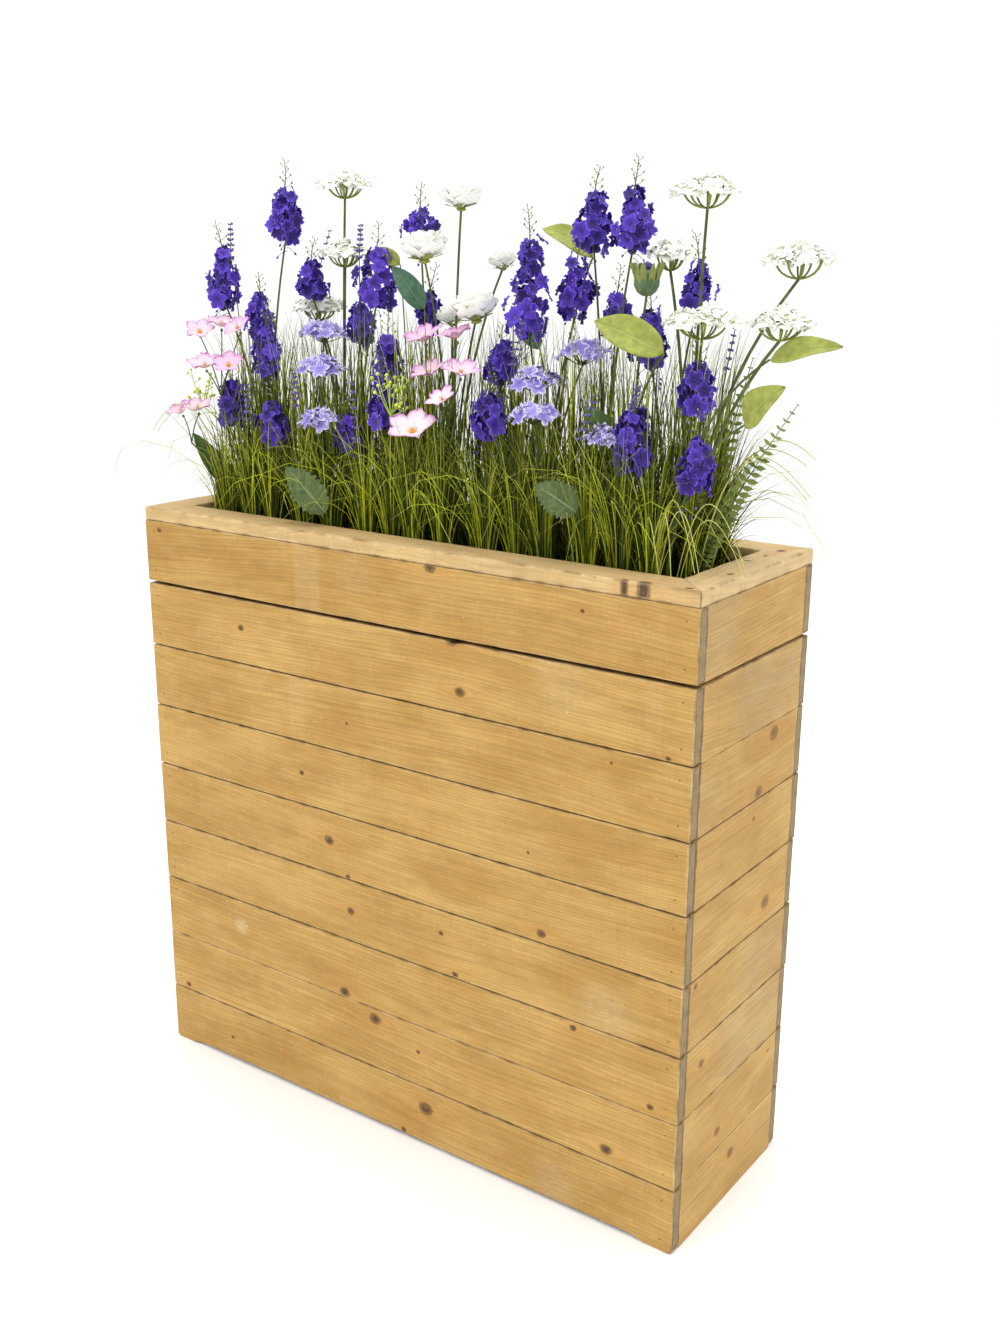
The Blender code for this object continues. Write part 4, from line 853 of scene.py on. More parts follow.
def tube_tree():
    """Tubes along chains of edges, each point with its own thickness."""
    group, lines, sides, finish = new_group("stem tubes", "GeometryNodeTree", Geometry="Geometry", Sides=5,
                                            Finish="Material")
    section = made_by(group, "GeometryNodeCurvePrimitiveCircle", Resolution=sides, Radius=1.0)
    swept = made_by(group, "GeometryNodeCurveToMesh", Curve=made_by(group, "GeometryNodeMeshToCurve", None, lines),
                    Profile_Curve=section, Fill_Caps=True, Scale=mark(group, "thick"))
    return finished(group, made_by(group, "GeometryNodeSetShadeSmooth", None, swept), finish)


def set_tree():
    """Copies of one pattern on points, each turned to its facing, rolled, and given its size and tint."""
    group, spots, pattern, finish = new_group("set on points", "GeometryNodeTree", Geometry="Geometry",
                                              Pattern="Object", Finish="Material")
    shape = made_by(group, "GeometryNodeObjectInfo", Object=pattern, As_Instance=True, output="Geometry")
    aimed = made_by(group, "FunctionNodeAlignRotationToVector", {"axis": "Z"},
                    Vector=mark(group, "facing", "FLOAT_VECTOR"))
    roll = made_by(group, "FunctionNodeAxisAngleToRotation", Axis=(0.0, 0.0, 1.0), Angle=mark(group, "roll"))
    turned = made_by(group, "FunctionNodeRotateRotation", {"rotation_space": "LOCAL"}, aimed, roll)
    return finished(group, made_by(group, "GeometryNodeInstanceOnPoints", Points=spots, Instance=shape,
                                   Rotation=turned, Scale=mark(group, "size")), finish)


stem_tubes = tube_tree()
set_on_points = set_tree()


def tubes(name, routes, finish, sides=5):
    """Tubes along routes; a route is its points and its thickness at the start and at the end."""
    points, edges, thick = [], [], []
    for route, start, end in routes:
        edges += [(len(points) + step, len(points) + step + 1) for step in range(len(route) - 1)]
        points += route
        thick += list(np.linspace(start, end, len(route)))
    return grown_by(stem_tubes, name, points, {"Sides": sides, "Finish": finish}, edges, thick=thick)


def copies(name, pattern, spots, finish):
    """Copies of a pattern; a spot is its place, facing, roll, size and tint."""
    places, facing, roll, size, tint = zip(*spots)
    return grown_by(set_on_points, name, places, {"Pattern": pattern, "Finish": finish}, facing=facing, roll=roll,
                    size=size, tint=tint)


def pattern_of(name, points, faces, **marks):
    """A small smooth mesh that is only copied, with marks on its points for its finish to read."""
    piece = mesh_piece(name, points, faces)
    bpy.context.scene.collection.objects.unlink(piece)
    marked(piece, **marks)
    piece.data.shade_smooth()
    return piece


def petal_ring(petals, start, length, width, cup, bend, ruffle=0.0, rows=3, cols=2, seed=1, tip=0.0):
    """Petals round the Z axis: points, faces, and how far out and how near the edge each point is."""
    dice = random.Random(seed)
    points, faces, reach, rim = [], [], [], []
    for petal in range(petals):
        heading = 2 * pi * petal / petals + dice.uniform(-0.09, 0.09)
        lift, phase = dice.uniform(-0.10, 0.10), dice.uniform(0, 6.28)
        for i in range(rows + 1):
            t = i / rows
            swell = sqrt(max(0.0, 1 - ((t - 0.6) / (0.62 if t < 0.6 else 0.43)) ** 2))
            for j in range(cols + 1):
                s = -1 + 2 * j / cols
                if i < rows and j < cols:
                    a = len(points)
                    faces.append((a, a + cols + 1, a + cols + 2, a + 1))
                out = start + length * (t - 0.07 * s * s * t + tip * (1 - abs(s)) * t ** 3)
                side = s * width / 2 * max(0.16, swell)
                height = length * ((cup + lift) * t - bend * t * t) + ruffle * sin(3.4 * s + phase) * t * t
                height += 0.10 * width * (s * s - 0.4) * t
                points.append((out * cos(heading) - side * sin(heading), out * sin(heading) + side * cos(heading),
                               height))
                reach.append(t)
                rim.append(max(abs(s) ** 2 * min(1.0, 2 * t), t ** 3))
    return points, faces, reach, rim


def small_ball(radius, tall, sides=6, rings=3, lift=0.0):
    """A closed bud or berry that stands on the origin, as points and faces."""
    points, faces = [(0.0, 0.0, lift)], []
    for ring in range(1, rings + 1):
        t = ring / (rings + 1)
        wide = radius * sin(pi * t) ** 0.8
        for k in range(sides):
            turn = 2 * pi * (k + 0.5 * ring) / sides
            points.append((wide * cos(turn), wide * sin(turn), lift + tall * t))
    points.append((0.0, 0.0, lift + tall))
    for k in range(sides):
        after = (k + 1) % sides
        faces.append((0, 1 + after, 1 + k))
        rows = [1 + ring * sides for ring in range(rings)]
        faces += [(a + k, a + after, b + after, b + k) for a, b in zip(rows, rows[1:])]
        faces.append((rows[-1] + k, rows[-1] + after, len(points) - 1))
    return points, faces


def flower_pattern(name, ring, ball, fade=None):
    """A flower of one ring of petals about a raised eye, whose colour may fade out along the petals."""
    points, faces, reach, rim = ring
    eye_points, eye_faces = ball
    first, plain = len(points), [0.0] * len(eye_points)
    eye = [max(0.0, 1.0 - fade * r) if fade else 0.0 for r in reach] + [1.0] * len(eye_points)
    return pattern_of(name, points + eye_points, faces + [tuple(first + index for index in face) for face in eye_faces],
                      reach=reach + plain, rim=rim + plain, eye=eye)


def bud_pattern(name, radius, tall, sides=5, rings=2):
    """A plain closed bud."""
    points, faces = small_ball(radius, tall, sides, rings)
    return pattern_of(name, points, faces, reach=[point[2] / tall for point in points], eye=0.0)


def petal_finish(name, deep, light, eye, rim_colour=None, rim_share=0.0, vein=0.25, relief=0.0003):
    """Cloth petals: deeper towards the middle, each flower with its own tint, fine veins, and an eye."""
    finish, shader, place = new_finish(name, Roughness=0.6, Sheen_Weight=0.05)
    reach, rim, tint, middle = marks_of(shader, "reach", "rim", "tint", "eye")
    colour = blended(ranged(reach * 0.45 + tint * 0.55, 0.1, 0.95), deep, light)
    threads = cloudy(place, 420.0, 3.0, 0.6)
    colour = blended(ranged(threads, 0.42, 0.7, 0.0, vein), colour, deep)
    if rim_colour:
        colour = blended(ranged(rim, 0.45, 1.0) * rim_share, colour, rim_colour)
    finish_on(shader, blended(middle, colour, eye), height=threads, relief=relief)
    return finish


def green_finish(name, dark, light, roughness=0.55):
    """Moulded green plastic of stems, leaves and buds, with flow marks and a slight change of tint."""
    finish, shader, place = new_finish(name, Roughness=roughness)
    tone = marks_of(shader, "tint")[0] * 0.35 + cloudy(place, 45.0, 2.0) * 0.75
    finish_on(shader, blended(ranged(tone, 0.2, 0.8), dark, light), height=cloudy(place, 600.0, 2.0), relief=0.0002)
    return finish


stem_green = green_finish("stem green", (0.050, 0.072, 0.014), (0.165, 0.205, 0.045))
# In the violet cloth the near-black deep colour is painted shade where it is laid towards each floret's middle, and a
# random darker tone where it comes from each floret's tint; the pale violet rim on the petal edges is a painted
# highlight.
violet_cloth = petal_finish("violet cloth", (0.016, 0.005, 0.095), (0.100, 0.042, 0.500), (0.060, 0.035, 0.230),
                            (0.19, 0.11, 0.74), 0.55)
bud_violet = petal_finish("violet buds", (0.060, 0.030, 0.200), (0.190, 0.150, 0.480), (0.1, 0.1, 0.1))
bud_green = green_finish("pale green buds", (0.130, 0.160, 0.050), (0.360, 0.400, 0.160))
spiral = 2.4  # turn from one floret or bud to the next, in radians


def bud_spike(dice, start, heading, long):
    """A thin spike with ten little buds on short stalks: its routes and the spots of its buds."""
    count, spread, bud_size = 10, 0.012, 0.95
    end = start + Vector(heading).normalized() * long
    bow = Vector((dice.uniform(-1, 1), dice.uniform(-1, 1), 0)) * long * 0.06
    routes, spots = [([start.lerp(end, t / 6) + bow * sin(pi * t / 6) for t in range(7)], 0.0010, 0.0004)], []
    for index in range(count):
        t = (index + 0.6) / count
        along = start.lerp(end, t) + bow * sin(pi * t)
        out = outward(index * spiral + dice.uniform(-0.5, 0.5), 0.55).normalized()
        tip = along + out * spread * (1.0 - 0.65 * t)
        routes.append(([along, along.lerp(tip, 0.5) - up(0.0004), tip], 0.0004, 0.0003))
        spots.append((tip, out + up(0.8), dice.uniform(0, 6), bud_size * (1.15 - 0.5 * t), dice.random()))
    return routes, spots


def delphiniums():
    """The ten bunches: stems, heads, hanging buds and bud tips, one piece for each bunch."""
    bunches = [
        ((-0.372, -0.008), [(-0.327, 0.0, 1.400, 0.056, 0.068), (-0.437, -0.030, 1.305, 0.050, 0.080),
                            (-0.382, -0.010, 1.246, 0.048, 0.060)]),
        ((-0.338, -0.046), [(-0.332, -0.046, 1.196, 0.046, 0.070), (-0.412, -0.048, 1.112, 0.050, 0.058),
                            (-0.292, -0.078, 1.090, 0.056, 0.056)]),
        ((-0.215, 0.018), [(-0.300, 0.024, 1.303, 0.048, 0.048), (-0.172, 0.030, 1.308, 0.070, 0.078),
                           (-0.226, 0.052, 1.240, 0.044, 0.050)]),
        ((-0.118, -0.040), [(-0.110, -0.024, 1.190, 0.050, 0.062), (-0.086, -0.062, 1.128, 0.048, 0.056),
                            (-0.146, -0.070, 1.084, 0.046, 0.044)]),
        ((-0.094, 0.056), [(-0.110, 0.060, 1.382, 0.066, 0.038), (-0.086, 0.050, 1.262, 0.040, 0.042)]),
        ((0.100, -0.040), [(0.098, -0.024, 1.196, 0.046, 0.046), (0.108, -0.070, 1.130, 0.054, 0.054)]),
        ((0.150, 0.010), [(0.132, -0.004, 1.298, 0.060, 0.130), (0.185, 0.032, 1.300, 0.056, 0.074)]),
        ((0.232, 0.040), [(0.238, 0.052, 1.262, 0.050, 0.050), (0.196, 0.056, 1.387, 0.060, 0.068),
                          (0.272, 0.034, 1.390, 0.050, 0.072)]),
        ((0.330, 0.044), [(0.314, 0.016, 1.238, 0.052, 0.060), (0.356, 0.060, 1.302, 0.046, 0.054)]),
        ((0.372, -0.050), [(0.420, -0.046, 1.182, 0.058, 0.056), (0.340, -0.070, 1.112, 0.056, 0.070),
                           (0.440, -0.078, 1.090, 0.050, 0.056)]),
    ]
    floret = flower_pattern("violet floret", petal_ring(5, 0.0012, 0.0142, 0.0122, 0.46, 0.40, 0.0032, 4, 3, tip=-0.05),
                            small_ball(0.0018, 0.00216, 5, 1, -0.0004))
    bud = bud_pattern("bud", 0.0016, 0.0052)
    fewest, more_per_metre = 11, 215
    for number, (foot, blooms) in enumerate(bunches, 1):
        dice = random.Random(100 + number)
        routes, heads, hanging, tips = [], [], [], []
        for x, y, z, wide, tall in blooms:
            base = Vector((x, y, z - tall / 2))
            routes.append((stem_route(foot, base), 0.0022, 0.0015))
            top = base + Vector((dice.uniform(-0.002, 0.002), dice.uniform(-0.002, 0.002), tall))
            routes.append(([base.lerp(top, t / 4) for t in range(5)], 0.0015, 0.0009))
            count = int(fewest + more_per_metre * tall)
            lumps = [(dice.uniform(0, 6.28), dice.uniform(0.1, 0.9)) for _ in range(3)]
            for index in range(count):
                t = (index + dice.uniform(0.0, 0.9)) / count
                turn = index * spiral + dice.uniform(-0.35, 0.35)
                belly = (0.66 + 0.34 * sin(pi * min(1.0, t * 1.2 + 0.1))) * (1.0 - 0.20 * t * t)
                lump = max(cos(turn - where) * max(0.0, 1.0 - 3.0 * abs(t - level)) for where, level in lumps)
                far = wide / 2 * belly * dice.uniform(0.38, 1.0) * (0.90 + 0.35 * max(0.0, lump))
                facing = outward(turn) + Vector((dice.uniform(-0.4, 0.4), dice.uniform(-0.4, 0.4),
                                                 0.75 * t - 0.1 + dice.uniform(-0.35, 0.35)))
                heads.append((base.lerp(top, t) + outward(turn) * far, facing, dice.uniform(0, 6.28),
                              dice.uniform(0.70, 1.12) * (1.08 - 0.34 * t), dice.random()))
            for index in range(dice.randint(3, 5)):
                turn = dice.uniform(0, 6.28)
                start = base - up(0.004 + 0.006 * index)
                end = start + outward(turn) * 0.013 - up(0.007)
                routes.append(([start, start.lerp(end, 0.5) + up(0.002), end], 0.0005, 0.0004))
                hanging.append((end, outward(turn, -1.2), 0.0, dice.uniform(0.9, 1.3), dice.random()))
            spike, spots = bud_spike(dice, top, (dice.uniform(-0.25, 0.25), dice.uniform(-0.2, 0.2), 1.0),
                                     dice.uniform(0.030, 0.048))
            routes += spike
            tips += spots
        name = f"delphinium_bunch_{number}"
        piece = joined(name, [
            tubes(f"{name}_stems", routes, stem_green), copies(f"{name}_heads", floret, heads, violet_cloth),
            copies(f"{name}_hanging", bud, hanging, bud_violet), copies(f"{name}_tips", bud, tips, bud_green)])
        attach(piece, "root")
        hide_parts(f"delphinium_{number}")
    for pattern in (floret, bud):
        bpy.data.objects.remove(pattern)


delphiniums()


# ---- White umbels -------------------------------------------------------------------------
# Three bunches of artificial umbels. From the top of each thick green stem a ring of curved
# green rays spreads, and each ray ends in a small tuft of frilled white florets.

white_cloth = petal_finish("white cloth", (0.82, 0.84, 0.68), (0.97, 0.97, 0.94), (0.55, 0.60, 0.26), vein=0.05,
                           relief=0.00008)
ray_green = green_finish("ray green", (0.150, 0.190, 0.025), (0.360, 0.400, 0.075))


def umbels():
    """Eight umbels in three bunches."""
    bunches = {
        "umbel_left": ((-0.272, 0.062), [(-0.265, 0.068, 1.440, 0.066, 0.034), (-0.322, 0.064, 1.255, 0.060, 0.034),
                                         (-0.252, 0.050, 1.338, 0.054, 0.034)]),
        "umbel_right": ((0.384, 0.006), [(0.383, 0.028, 1.418, 0.070, 0.036), (0.409, -0.022, 1.258, 0.076, 0.036),
                                         (0.306, 0.076, 1.340, 0.044, 0.036)]),
        "umbel_far_right": ((0.397, -0.022), [(0.538, -0.070, 1.262, 0.062, 0.034),
                                              (0.522, 0.010, 1.334, 0.066, 0.038)]),
    }
    floret = flower_pattern("white floret", petal_ring(5, 0.0005, 0.0068, 0.0064, 0.34, 0.34, 0.0014),
                            small_ball(0.0007, 0.00084, 5, 1, -0.0004))
    ray_rings = ((7, 1.0, 0.66), (4, 0.55, 0.86), (1, 0.15, 0.96))
    tuft_florets, tuft_radius = 6, 0.0100
    for number, (node, (foot, blooms)) in enumerate(bunches.items()):
        dice = random.Random(300 + number)
        routes, rays, florets = [], [], []
        for x, y, z, wide, tall in blooms:
            hub = Vector((x, y, z - tall / 2))
            routes.append((stem_route(foot, hub), 0.0027, 0.0020))
            for level, (count, share, rise) in enumerate(ray_rings):
                for index in range(count):
                    turn = 2 * pi * index / count + level * 0.5 + dice.uniform(-0.16, 0.16)
                    out = outward(turn) * (wide / 2 * share * dice.uniform(0.84, 0.98))
                    tip = hub + out + up(tall * rise * dice.uniform(0.88, 1.02))
                    rays.append((bowed(hub, hub + out * 0.85 + up(tall * rise * 0.08), tip), 0.0011, 0.0015))
                    for bloom in range(tuft_florets):
                        swing = bloom * spiral + dice.uniform(-0.3, 0.3)
                        near = tuft_radius * sqrt((bloom + 0.3) / tuft_florets)
                        spot = tip + outward(swing) * near + up(0.0035 - near * 0.30 + dice.uniform(-0.001, 0.001))
                        rays.append(([tip - up(0.002), tip.lerp(spot, 0.6), spot], 0.0004, 0.0003))
                        facing = outward(swing) * near * 90 + Vector((dice.uniform(-0.5, 0.5),
                                                                      dice.uniform(-0.5, 0.5), 1.0))
                        florets.append((spot, facing, dice.uniform(0, 6), dice.uniform(1.5, 2.1), dice.random()))
        name = f"{node}_bunch"
        piece = joined(name, [tubes(f"{name}_stems", routes, stem_green, 6), tubes(f"{name}_rays", rays, ray_green, 4),
                              copies(f"{name}_florets", floret, florets, white_cloth)])
        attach(piece, "root")
        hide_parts(node)
    bpy.data.objects.remove(floret)


umbels()


# ---- White ranunculus ---------------------------------------------------------------------
# Five flat double blooms on dark thin stems. Each is a white cloth cushion covered with thin
# overlapping petals on a green calyx, with a greenish middle that the shorter petals close over.

ranunculus_cloth = petal_finish("ranunculus cloth", (0.88, 0.89, 0.78), (0.98, 0.98, 0.95), (0.45, 0.50, 0.18),
                                vein=0.05, relief=0.00008)


def roll_towards(facing, out):
    """How far a copy on its facing has to be rolled for its X side to point out."""
    side = up(1).rotation_difference(facing).to_matrix() @ Vector((1, 0, 0))
    want = (out - facing * out.dot(facing)).normalized()
    return atan2(facing.dot(side.cross(want)), side.dot(want))


def ranunculus():
    """The five blooms: seven rings of petals, a cushion and a button, a calyx and a stem each."""
    blooms = [(-0.004, 0.020, 1.421, 0.072, 0.030), (-0.040, -0.020, 1.352, 0.082, 0.034),
              (0.052, -0.020, 1.270, 0.080, 0.032), (-0.024, 0.024, 1.258, 0.052, 0.028),
              (0.034, 0.070, 1.334, 0.050, 0.022)]
    foot = (-0.010, 0.006)
    petal_rings = ((9, 0.08, 0.51, 15), (9, 0.14, 0.49, 22), (9, 0.18, 0.46, 31), (8, 0.22, 0.41, 41),
                   (8, 0.25, 0.36, 54), (7, 0.26, 0.31, 67), (6, 0.28, 0.26, 80))
    points, faces, reach, rim = petal_ring(1, 0.0, 1.0, 1.0, -0.10, -0.42, 0.018, 5, 4, seed=9)
    petal = pattern_of("ranunculus petal", points, faces, reach=reach, rim=rim, eye=0.0)
    button = pattern_of("ranunculus button", *small_ball(1.0, 0.9, 8, 3), reach=0.3, eye=0.8)
    cushion = pattern_of("ranunculus cushion", *small_ball(1.0, 0.9, 14, 5), reach=0.7, eye=0.0)
    points, faces, reach, _ = petal_ring(5, 0.1, 0.9, 0.5, 0.20, -0.10, seed=4)
    calyx = pattern_of("calyx", points, faces, reach=reach, eye=0.0)
    dice = random.Random(500)
    routes, petals, buttons, cushions, sepals, hips = [], [], [], [], [], []
    for x, y, z, wide, tall in blooms:
        base = Vector((x, y, z - tall / 2))
        lean = Vector((dice.uniform(-0.10, 0.10), dice.uniform(-0.22, -0.04), 1.0)).normalized()
        routes.append((stem_route(foot, base), 0.0021, 0.0016))
        for count, lift, length, steep in petal_rings:
            for index in range(count):
                out = outward(2 * pi * index / count + steep * 0.11 + dice.uniform(-0.12, 0.12))
                rise = radians(steep + dice.uniform(-6, 6))
                facing = (lean * cos(rise) - out * sin(rise)).normalized()
                petals.append((base + lean * tall * lift, facing, roll_towards(facing, out),
                               wide * length * dice.uniform(0.92, 1.06), dice.random()))
        buttons.append((base + lean * wide * 0.16, lean, 0.0, wide * 0.075, dice.random()))
        cushions.append((base + lean * tall * 0.06, lean, 0.0, wide * 0.30, 0.8))
        sepals.append((base - lean * 0.0016, lean, dice.uniform(0, 6), wide * 0.33, dice.random()))
        hips.append((base - lean * wide * 0.09, lean, 0.0, wide * 0.11, 0.6))
    parts = [tubes("ranunculus_stems", routes, stem_green, 6)]
    for label, pattern, spots, finish in (("petals", petal, petals, ranunculus_cloth),
                                          ("buttons", button, buttons, ranunculus_cloth),
                                          ("cushions", cushion, cushions, ranunculus_cloth),
                                          ("sepals", calyx, sepals, ray_green), ("hips", button, hips, ray_green)):
        parts.append(copies(f"ranunculus_{label}", pattern, spots, finish))
    piece = joined("ranunculus_bunch", parts)
    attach(piece, "root")
    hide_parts("ranunculus")
    for pattern in (petal, button, cushion, calyx):
        bpy.data.objects.remove(pattern)


ranunculus()


# ---- Pink blossoms ------------------------------------------------------------------------
# Two sprays of five-petalled cloth blossoms, nearly white with pink edges round an orange eye
# with stamens, each on a short green calyx and a thin branching stem.

pink_cloth = petal_finish("pink cloth", (0.86, 0.75, 0.76), (0.70, 0.41, 0.62), (0.88, 0.40, 0.05),
                          (0.50, 0.17, 0.46), 0.85, vein=0.12)
stamen_yellow = green_finish("stamen yellow", (0.42, 0.20, 0.02), (0.72, 0.48, 0.06))
calyx_green = green_finish("calyx green", (0.080, 0.120, 0.030), (0.220, 0.250, 0.070))


def blossoms():
    """The left spray, whose seven blossoms branch from two forks, and the middle one of six."""
    sprays = {
        "blossoms_left": ((-0.384, -0.071), [
            (-0.463, -0.062, 1.222, 0.040), (-0.420, -0.056, 1.234, 0.040), (-0.376, -0.062, 1.230, 0.038),
            (-0.428, -0.086, 1.172, 0.046), (-0.374, -0.088, 1.176, 0.042), (-0.500, -0.076, 1.096, 0.038),
            (-0.448, -0.088, 1.104, 0.042)]),
        "blossoms_middle": ((0.006, -0.058), [
            (-0.024, -0.040, 1.226, 0.050), (0.035, -0.044, 1.232, 0.042), (0.0, -0.060, 1.180, 0.044),
            (0.061, -0.068, 1.184, 0.046), (0.0, -0.100, 1.103, 0.060), (0.056, -0.102, 1.150, 0.040)]),
    }
    stamens, fork_step = 9, 7
    blossom = flower_pattern("blossom", petal_ring(5, 0.03, 0.50, 0.42, 0.90, 0.46, 0.045, 5, 4, seed=3, tip=0.04),
                             small_ball(0.052, 0.07, 6, 2), fade=5.5)
    bead = bud_pattern("stamen head", 0.00075, 0.0015, 5, 1)
    cup = bud_pattern("blossom calyx", 0.0024, 0.0060, 6, 3)
    for number, (node, (foot, blooms)) in enumerate(sprays.items()):
        dice = random.Random(600 + number)
        stems, threads, heads, beads, cups = [], [], [], [], []
        forks = {}
        for x, y, z, wide in blooms:
            place = Vector((x, y, z - 0.004))
            tier = 0 if number else round(z, 1)
            if tier not in forks:
                near = [bloom for bloom in blooms if number or round(bloom[2], 1) == tier]
                forks[tier] = Vector((sum(bloom[0] for bloom in near) / len(near),
                                      sum(bloom[1] for bloom in near) / len(near), min(b[2] for b in near) - 0.050))
                stems.append((stem_route(foot, forks[tier]), 0.0020, 0.0014))
            fork = stem_route(foot, place)[fork_step] if number else forks[tier]
            facing = Vector((0.12 + dice.uniform(-0.35, 0.35), -0.42 + dice.uniform(-0.3, 0.3), 1.0)).normalized()
            base = place - facing * 0.006
            bend = fork.lerp(base, 0.5) + up(0.008) + (base - fork).cross(up(1)) * 0.08
            stems.append((bowed(fork, bend, base), 0.0011, 0.0009))
            if number:
                stems.append((stem_route(foot, place)[:fork_step + 1], 0.0015, 0.0011))
            cups.append((base - facing * 0.0035, facing, 0.0, dice.uniform(0.95, 1.15), dice.random()))
            heads.append((place, facing, dice.uniform(0, 6.28), wide * dice.uniform(1.08, 1.20), dice.random()))
            side = facing.orthogonal().normalized()
            for index in range(stamens):
                turn = 2 * pi * index / stamens
                fan = (side * cos(turn) + facing.cross(side) * sin(turn)) * 0.0026
                tip = place + facing * dice.uniform(0.0055, 0.0085) + fan
                threads.append(([place + facing * 0.002, place.lerp(tip, 0.6), tip], 0.0003, 0.0002))
                beads.append((tip, facing, 0.0, dice.uniform(0.8, 1.1), dice.random()))
        name = f"{node}_spray"
        piece = joined(name, [
            tubes(f"{name}_stems", stems, stem_green), tubes(f"{name}_threads", threads, stamen_yellow, 3),
            copies(f"{name}_heads", blossom, heads, pink_cloth), copies(f"{name}_beads", bead, beads, stamen_yellow),
            copies(f"{name}_cups", cup, cups, calyx_green)])
        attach(piece, "root")
        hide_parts(node)
    for pattern in (blossom, bead, cup):
        bpy.data.objects.remove(pattern)


blossoms()


# ---- Lilac phlox --------------------------------------------------------------------------
# Seven flat domes of lilac cloth florets with frilled pale edges, packed on short stalks that
# branch from the top of a thin green stem.

lilac_cloth = petal_finish("lilac cloth", (0.165, 0.120, 0.440), (0.380, 0.330, 0.680), (0.50, 0.46, 0.66),
                           (0.72, 0.69, 0.85), 0.80, vein=0.1)


def phlox():
    """Three domes in the left bunch, and in the right one three and a small low one."""
    bunches = {
        "phlox_left": ((-0.212, -0.056), [(-0.251, -0.006, 1.226, 0.082, 0.034), (-0.216, -0.052, 1.178, 0.082, 0.032),
                                          (-0.184, -0.095, 1.105, 0.066, 0.034)]),
        "phlox_right": ((0.192, -0.054), [(0.221, -0.006, 1.216, 0.080, 0.038), (0.175, -0.050, 1.178, 0.084, 0.032),
                                          (0.204, -0.095, 1.140, 0.076, 0.032), (0.300, -0.074, 1.113, 0.050, 0.024)]),
    }
    florets = 19
    floret = flower_pattern("lilac floret", petal_ring(5, 0.0010, 0.0130, 0.0096, 0.40, 0.36, 0.0030, 4, 3, tip=-0.08),
                            small_ball(0.0011, 0.00132, 5, 1, -0.0004))
    for number, (node, (foot, blooms)) in enumerate(bunches.items()):
        dice = random.Random(700 + number)
        routes, heads = [], []
        for x, y, z, wide, tall in blooms:
            hub = Vector((x, y, z - tall / 2))
            routes.append((stem_route(foot, hub), 0.0020, 0.0015))
            for index in range(florets):
                share = sqrt((index + 0.5) / florets)
                out = outward(index * spiral + dice.uniform(-0.2, 0.2))
                spot = hub + out * (wide / 2 - 0.007) * share + up(tall * (0.80 - 0.42 * share ** 2))
                spot.z += dice.uniform(-0.005, 0.004)
                facing = out * (0.15 + 0.75 * share) + Vector((dice.uniform(-0.5, 0.5), dice.uniform(-0.6, 0.3), 1.0))
                bend = hub.lerp(spot, 0.5) - up(tall * 0.10 * share)
                routes.append((bowed(hub, bend, spot, 4), 0.0007, 0.0006))
                heads.append((spot, facing, dice.uniform(0, 6.28), dice.uniform(0.88, 1.12), dice.random()))
        name = f"{node}_bunch"
        piece = joined(name, [tubes(f"{name}_stems", routes, stem_green),
                              copies(f"{name}_heads", floret, heads, lilac_cloth)])
        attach(piece, "root")
        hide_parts(node)
    bpy.data.objects.remove(floret)


phlox()


# ---- Leafy stems --------------------------------------------------------------------------
# Three thick green stems with broad printed cloth leaves. Each leaf is folded a little along a
# pale midrib, has side veins, and hangs over towards its tip.

def leaf_finish(name, dark, light, vein_colour, vein_pitch=6.0, roughness=0.5):
    """Leaf cloth with a pale midrib and side veins that run forward from it."""
    finish, shader, place = new_finish(name, Roughness=roughness)
    along, across = marks_of(shader, "along", "across")
    away = abs(across)
    from_vein = abs(((away * -0.16 + along) * vein_pitch).maths("FRACT") - 0.5)
    veins = ranged(away, 0.10, 0.02).maths("MAXIMUM", ranged(from_vein, 0.10, 0.0) * 0.55)
    mottle = cloudy(place, 90.0, 3.0, 0.6)
    colour = blended(ranged(mottle, 0.3, 0.7), dark, light)
    finish_on(shader, blended(veins * 0.6, colour, vein_colour),
              ranged(mottle, 0.3, 0.7, roughness - 0.06, roughness + 0.1), mottle * 0.5 - veins, 0.0008)
    return finish


def leaf(name, foot, tip, wide, finish, teeth=0, sag=0.06, widest=0.40, looks=(0.5, -0.8, 0.45)):
    """One leaf from foot to tip: a folded, sagging blade with a whole or a toothed edge.

    widest is how far out it is broadest, and looks is where its upper side is turned."""
    fold, cloth = 0.16, 0.0004
    foot, tip, looks = Vector(foot), Vector(tip), Vector(looks)
    long, ahead = (tip - foot).length, (tip - foot).normalized()
    above = (looks - ahead * ahead.dot(looks)).normalized()
    side = ahead.cross(above)
    columns = (-1.0, -0.78, -0.42, 0.0, 0.42, 0.78, 1.0)
    rows = teeth * 8 if teeth else 14
    points, along, across = [], [], []
    for i in range(rows + 1):
        t = i / rows
        half = wide / 2 * max(0.02, sin(pi * t ** (log(0.5) / log(widest))) ** 0.75)
        if teeth:
            half *= 0.74 + 0.36 * (1.0 - (t * teeth * 2 % 1.0))
        centre = foot.lerp(tip, t) + above * (sin(pi * t) * sag * long)
        for s in columns:
            ripple = 0.035 * wide * sin(9.0 * t + 2.0 * s) * abs(s)
            points.append(centre + side * s * half + above * (abs(s) * half * fold * 2 + ripple)
                          + ahead * abs(s) * half * 0.10)
            along.append(t)
            across.append(s)
    row = len(columns)
    faces = [(a, a + 1, a + row + 1, a + row) for i in range(rows) for a in range(i * row, i * row + row - 1)]
    piece = mesh_piece(name, points, faces, finish)
    marked(piece, along=along, across=across)
    piece.data.shade_smooth()
    thick = piece.modifiers.new("thick", "SOLIDIFY")
    thick.thickness, thick.offset = cloth, 0.0
    return settled(piece)


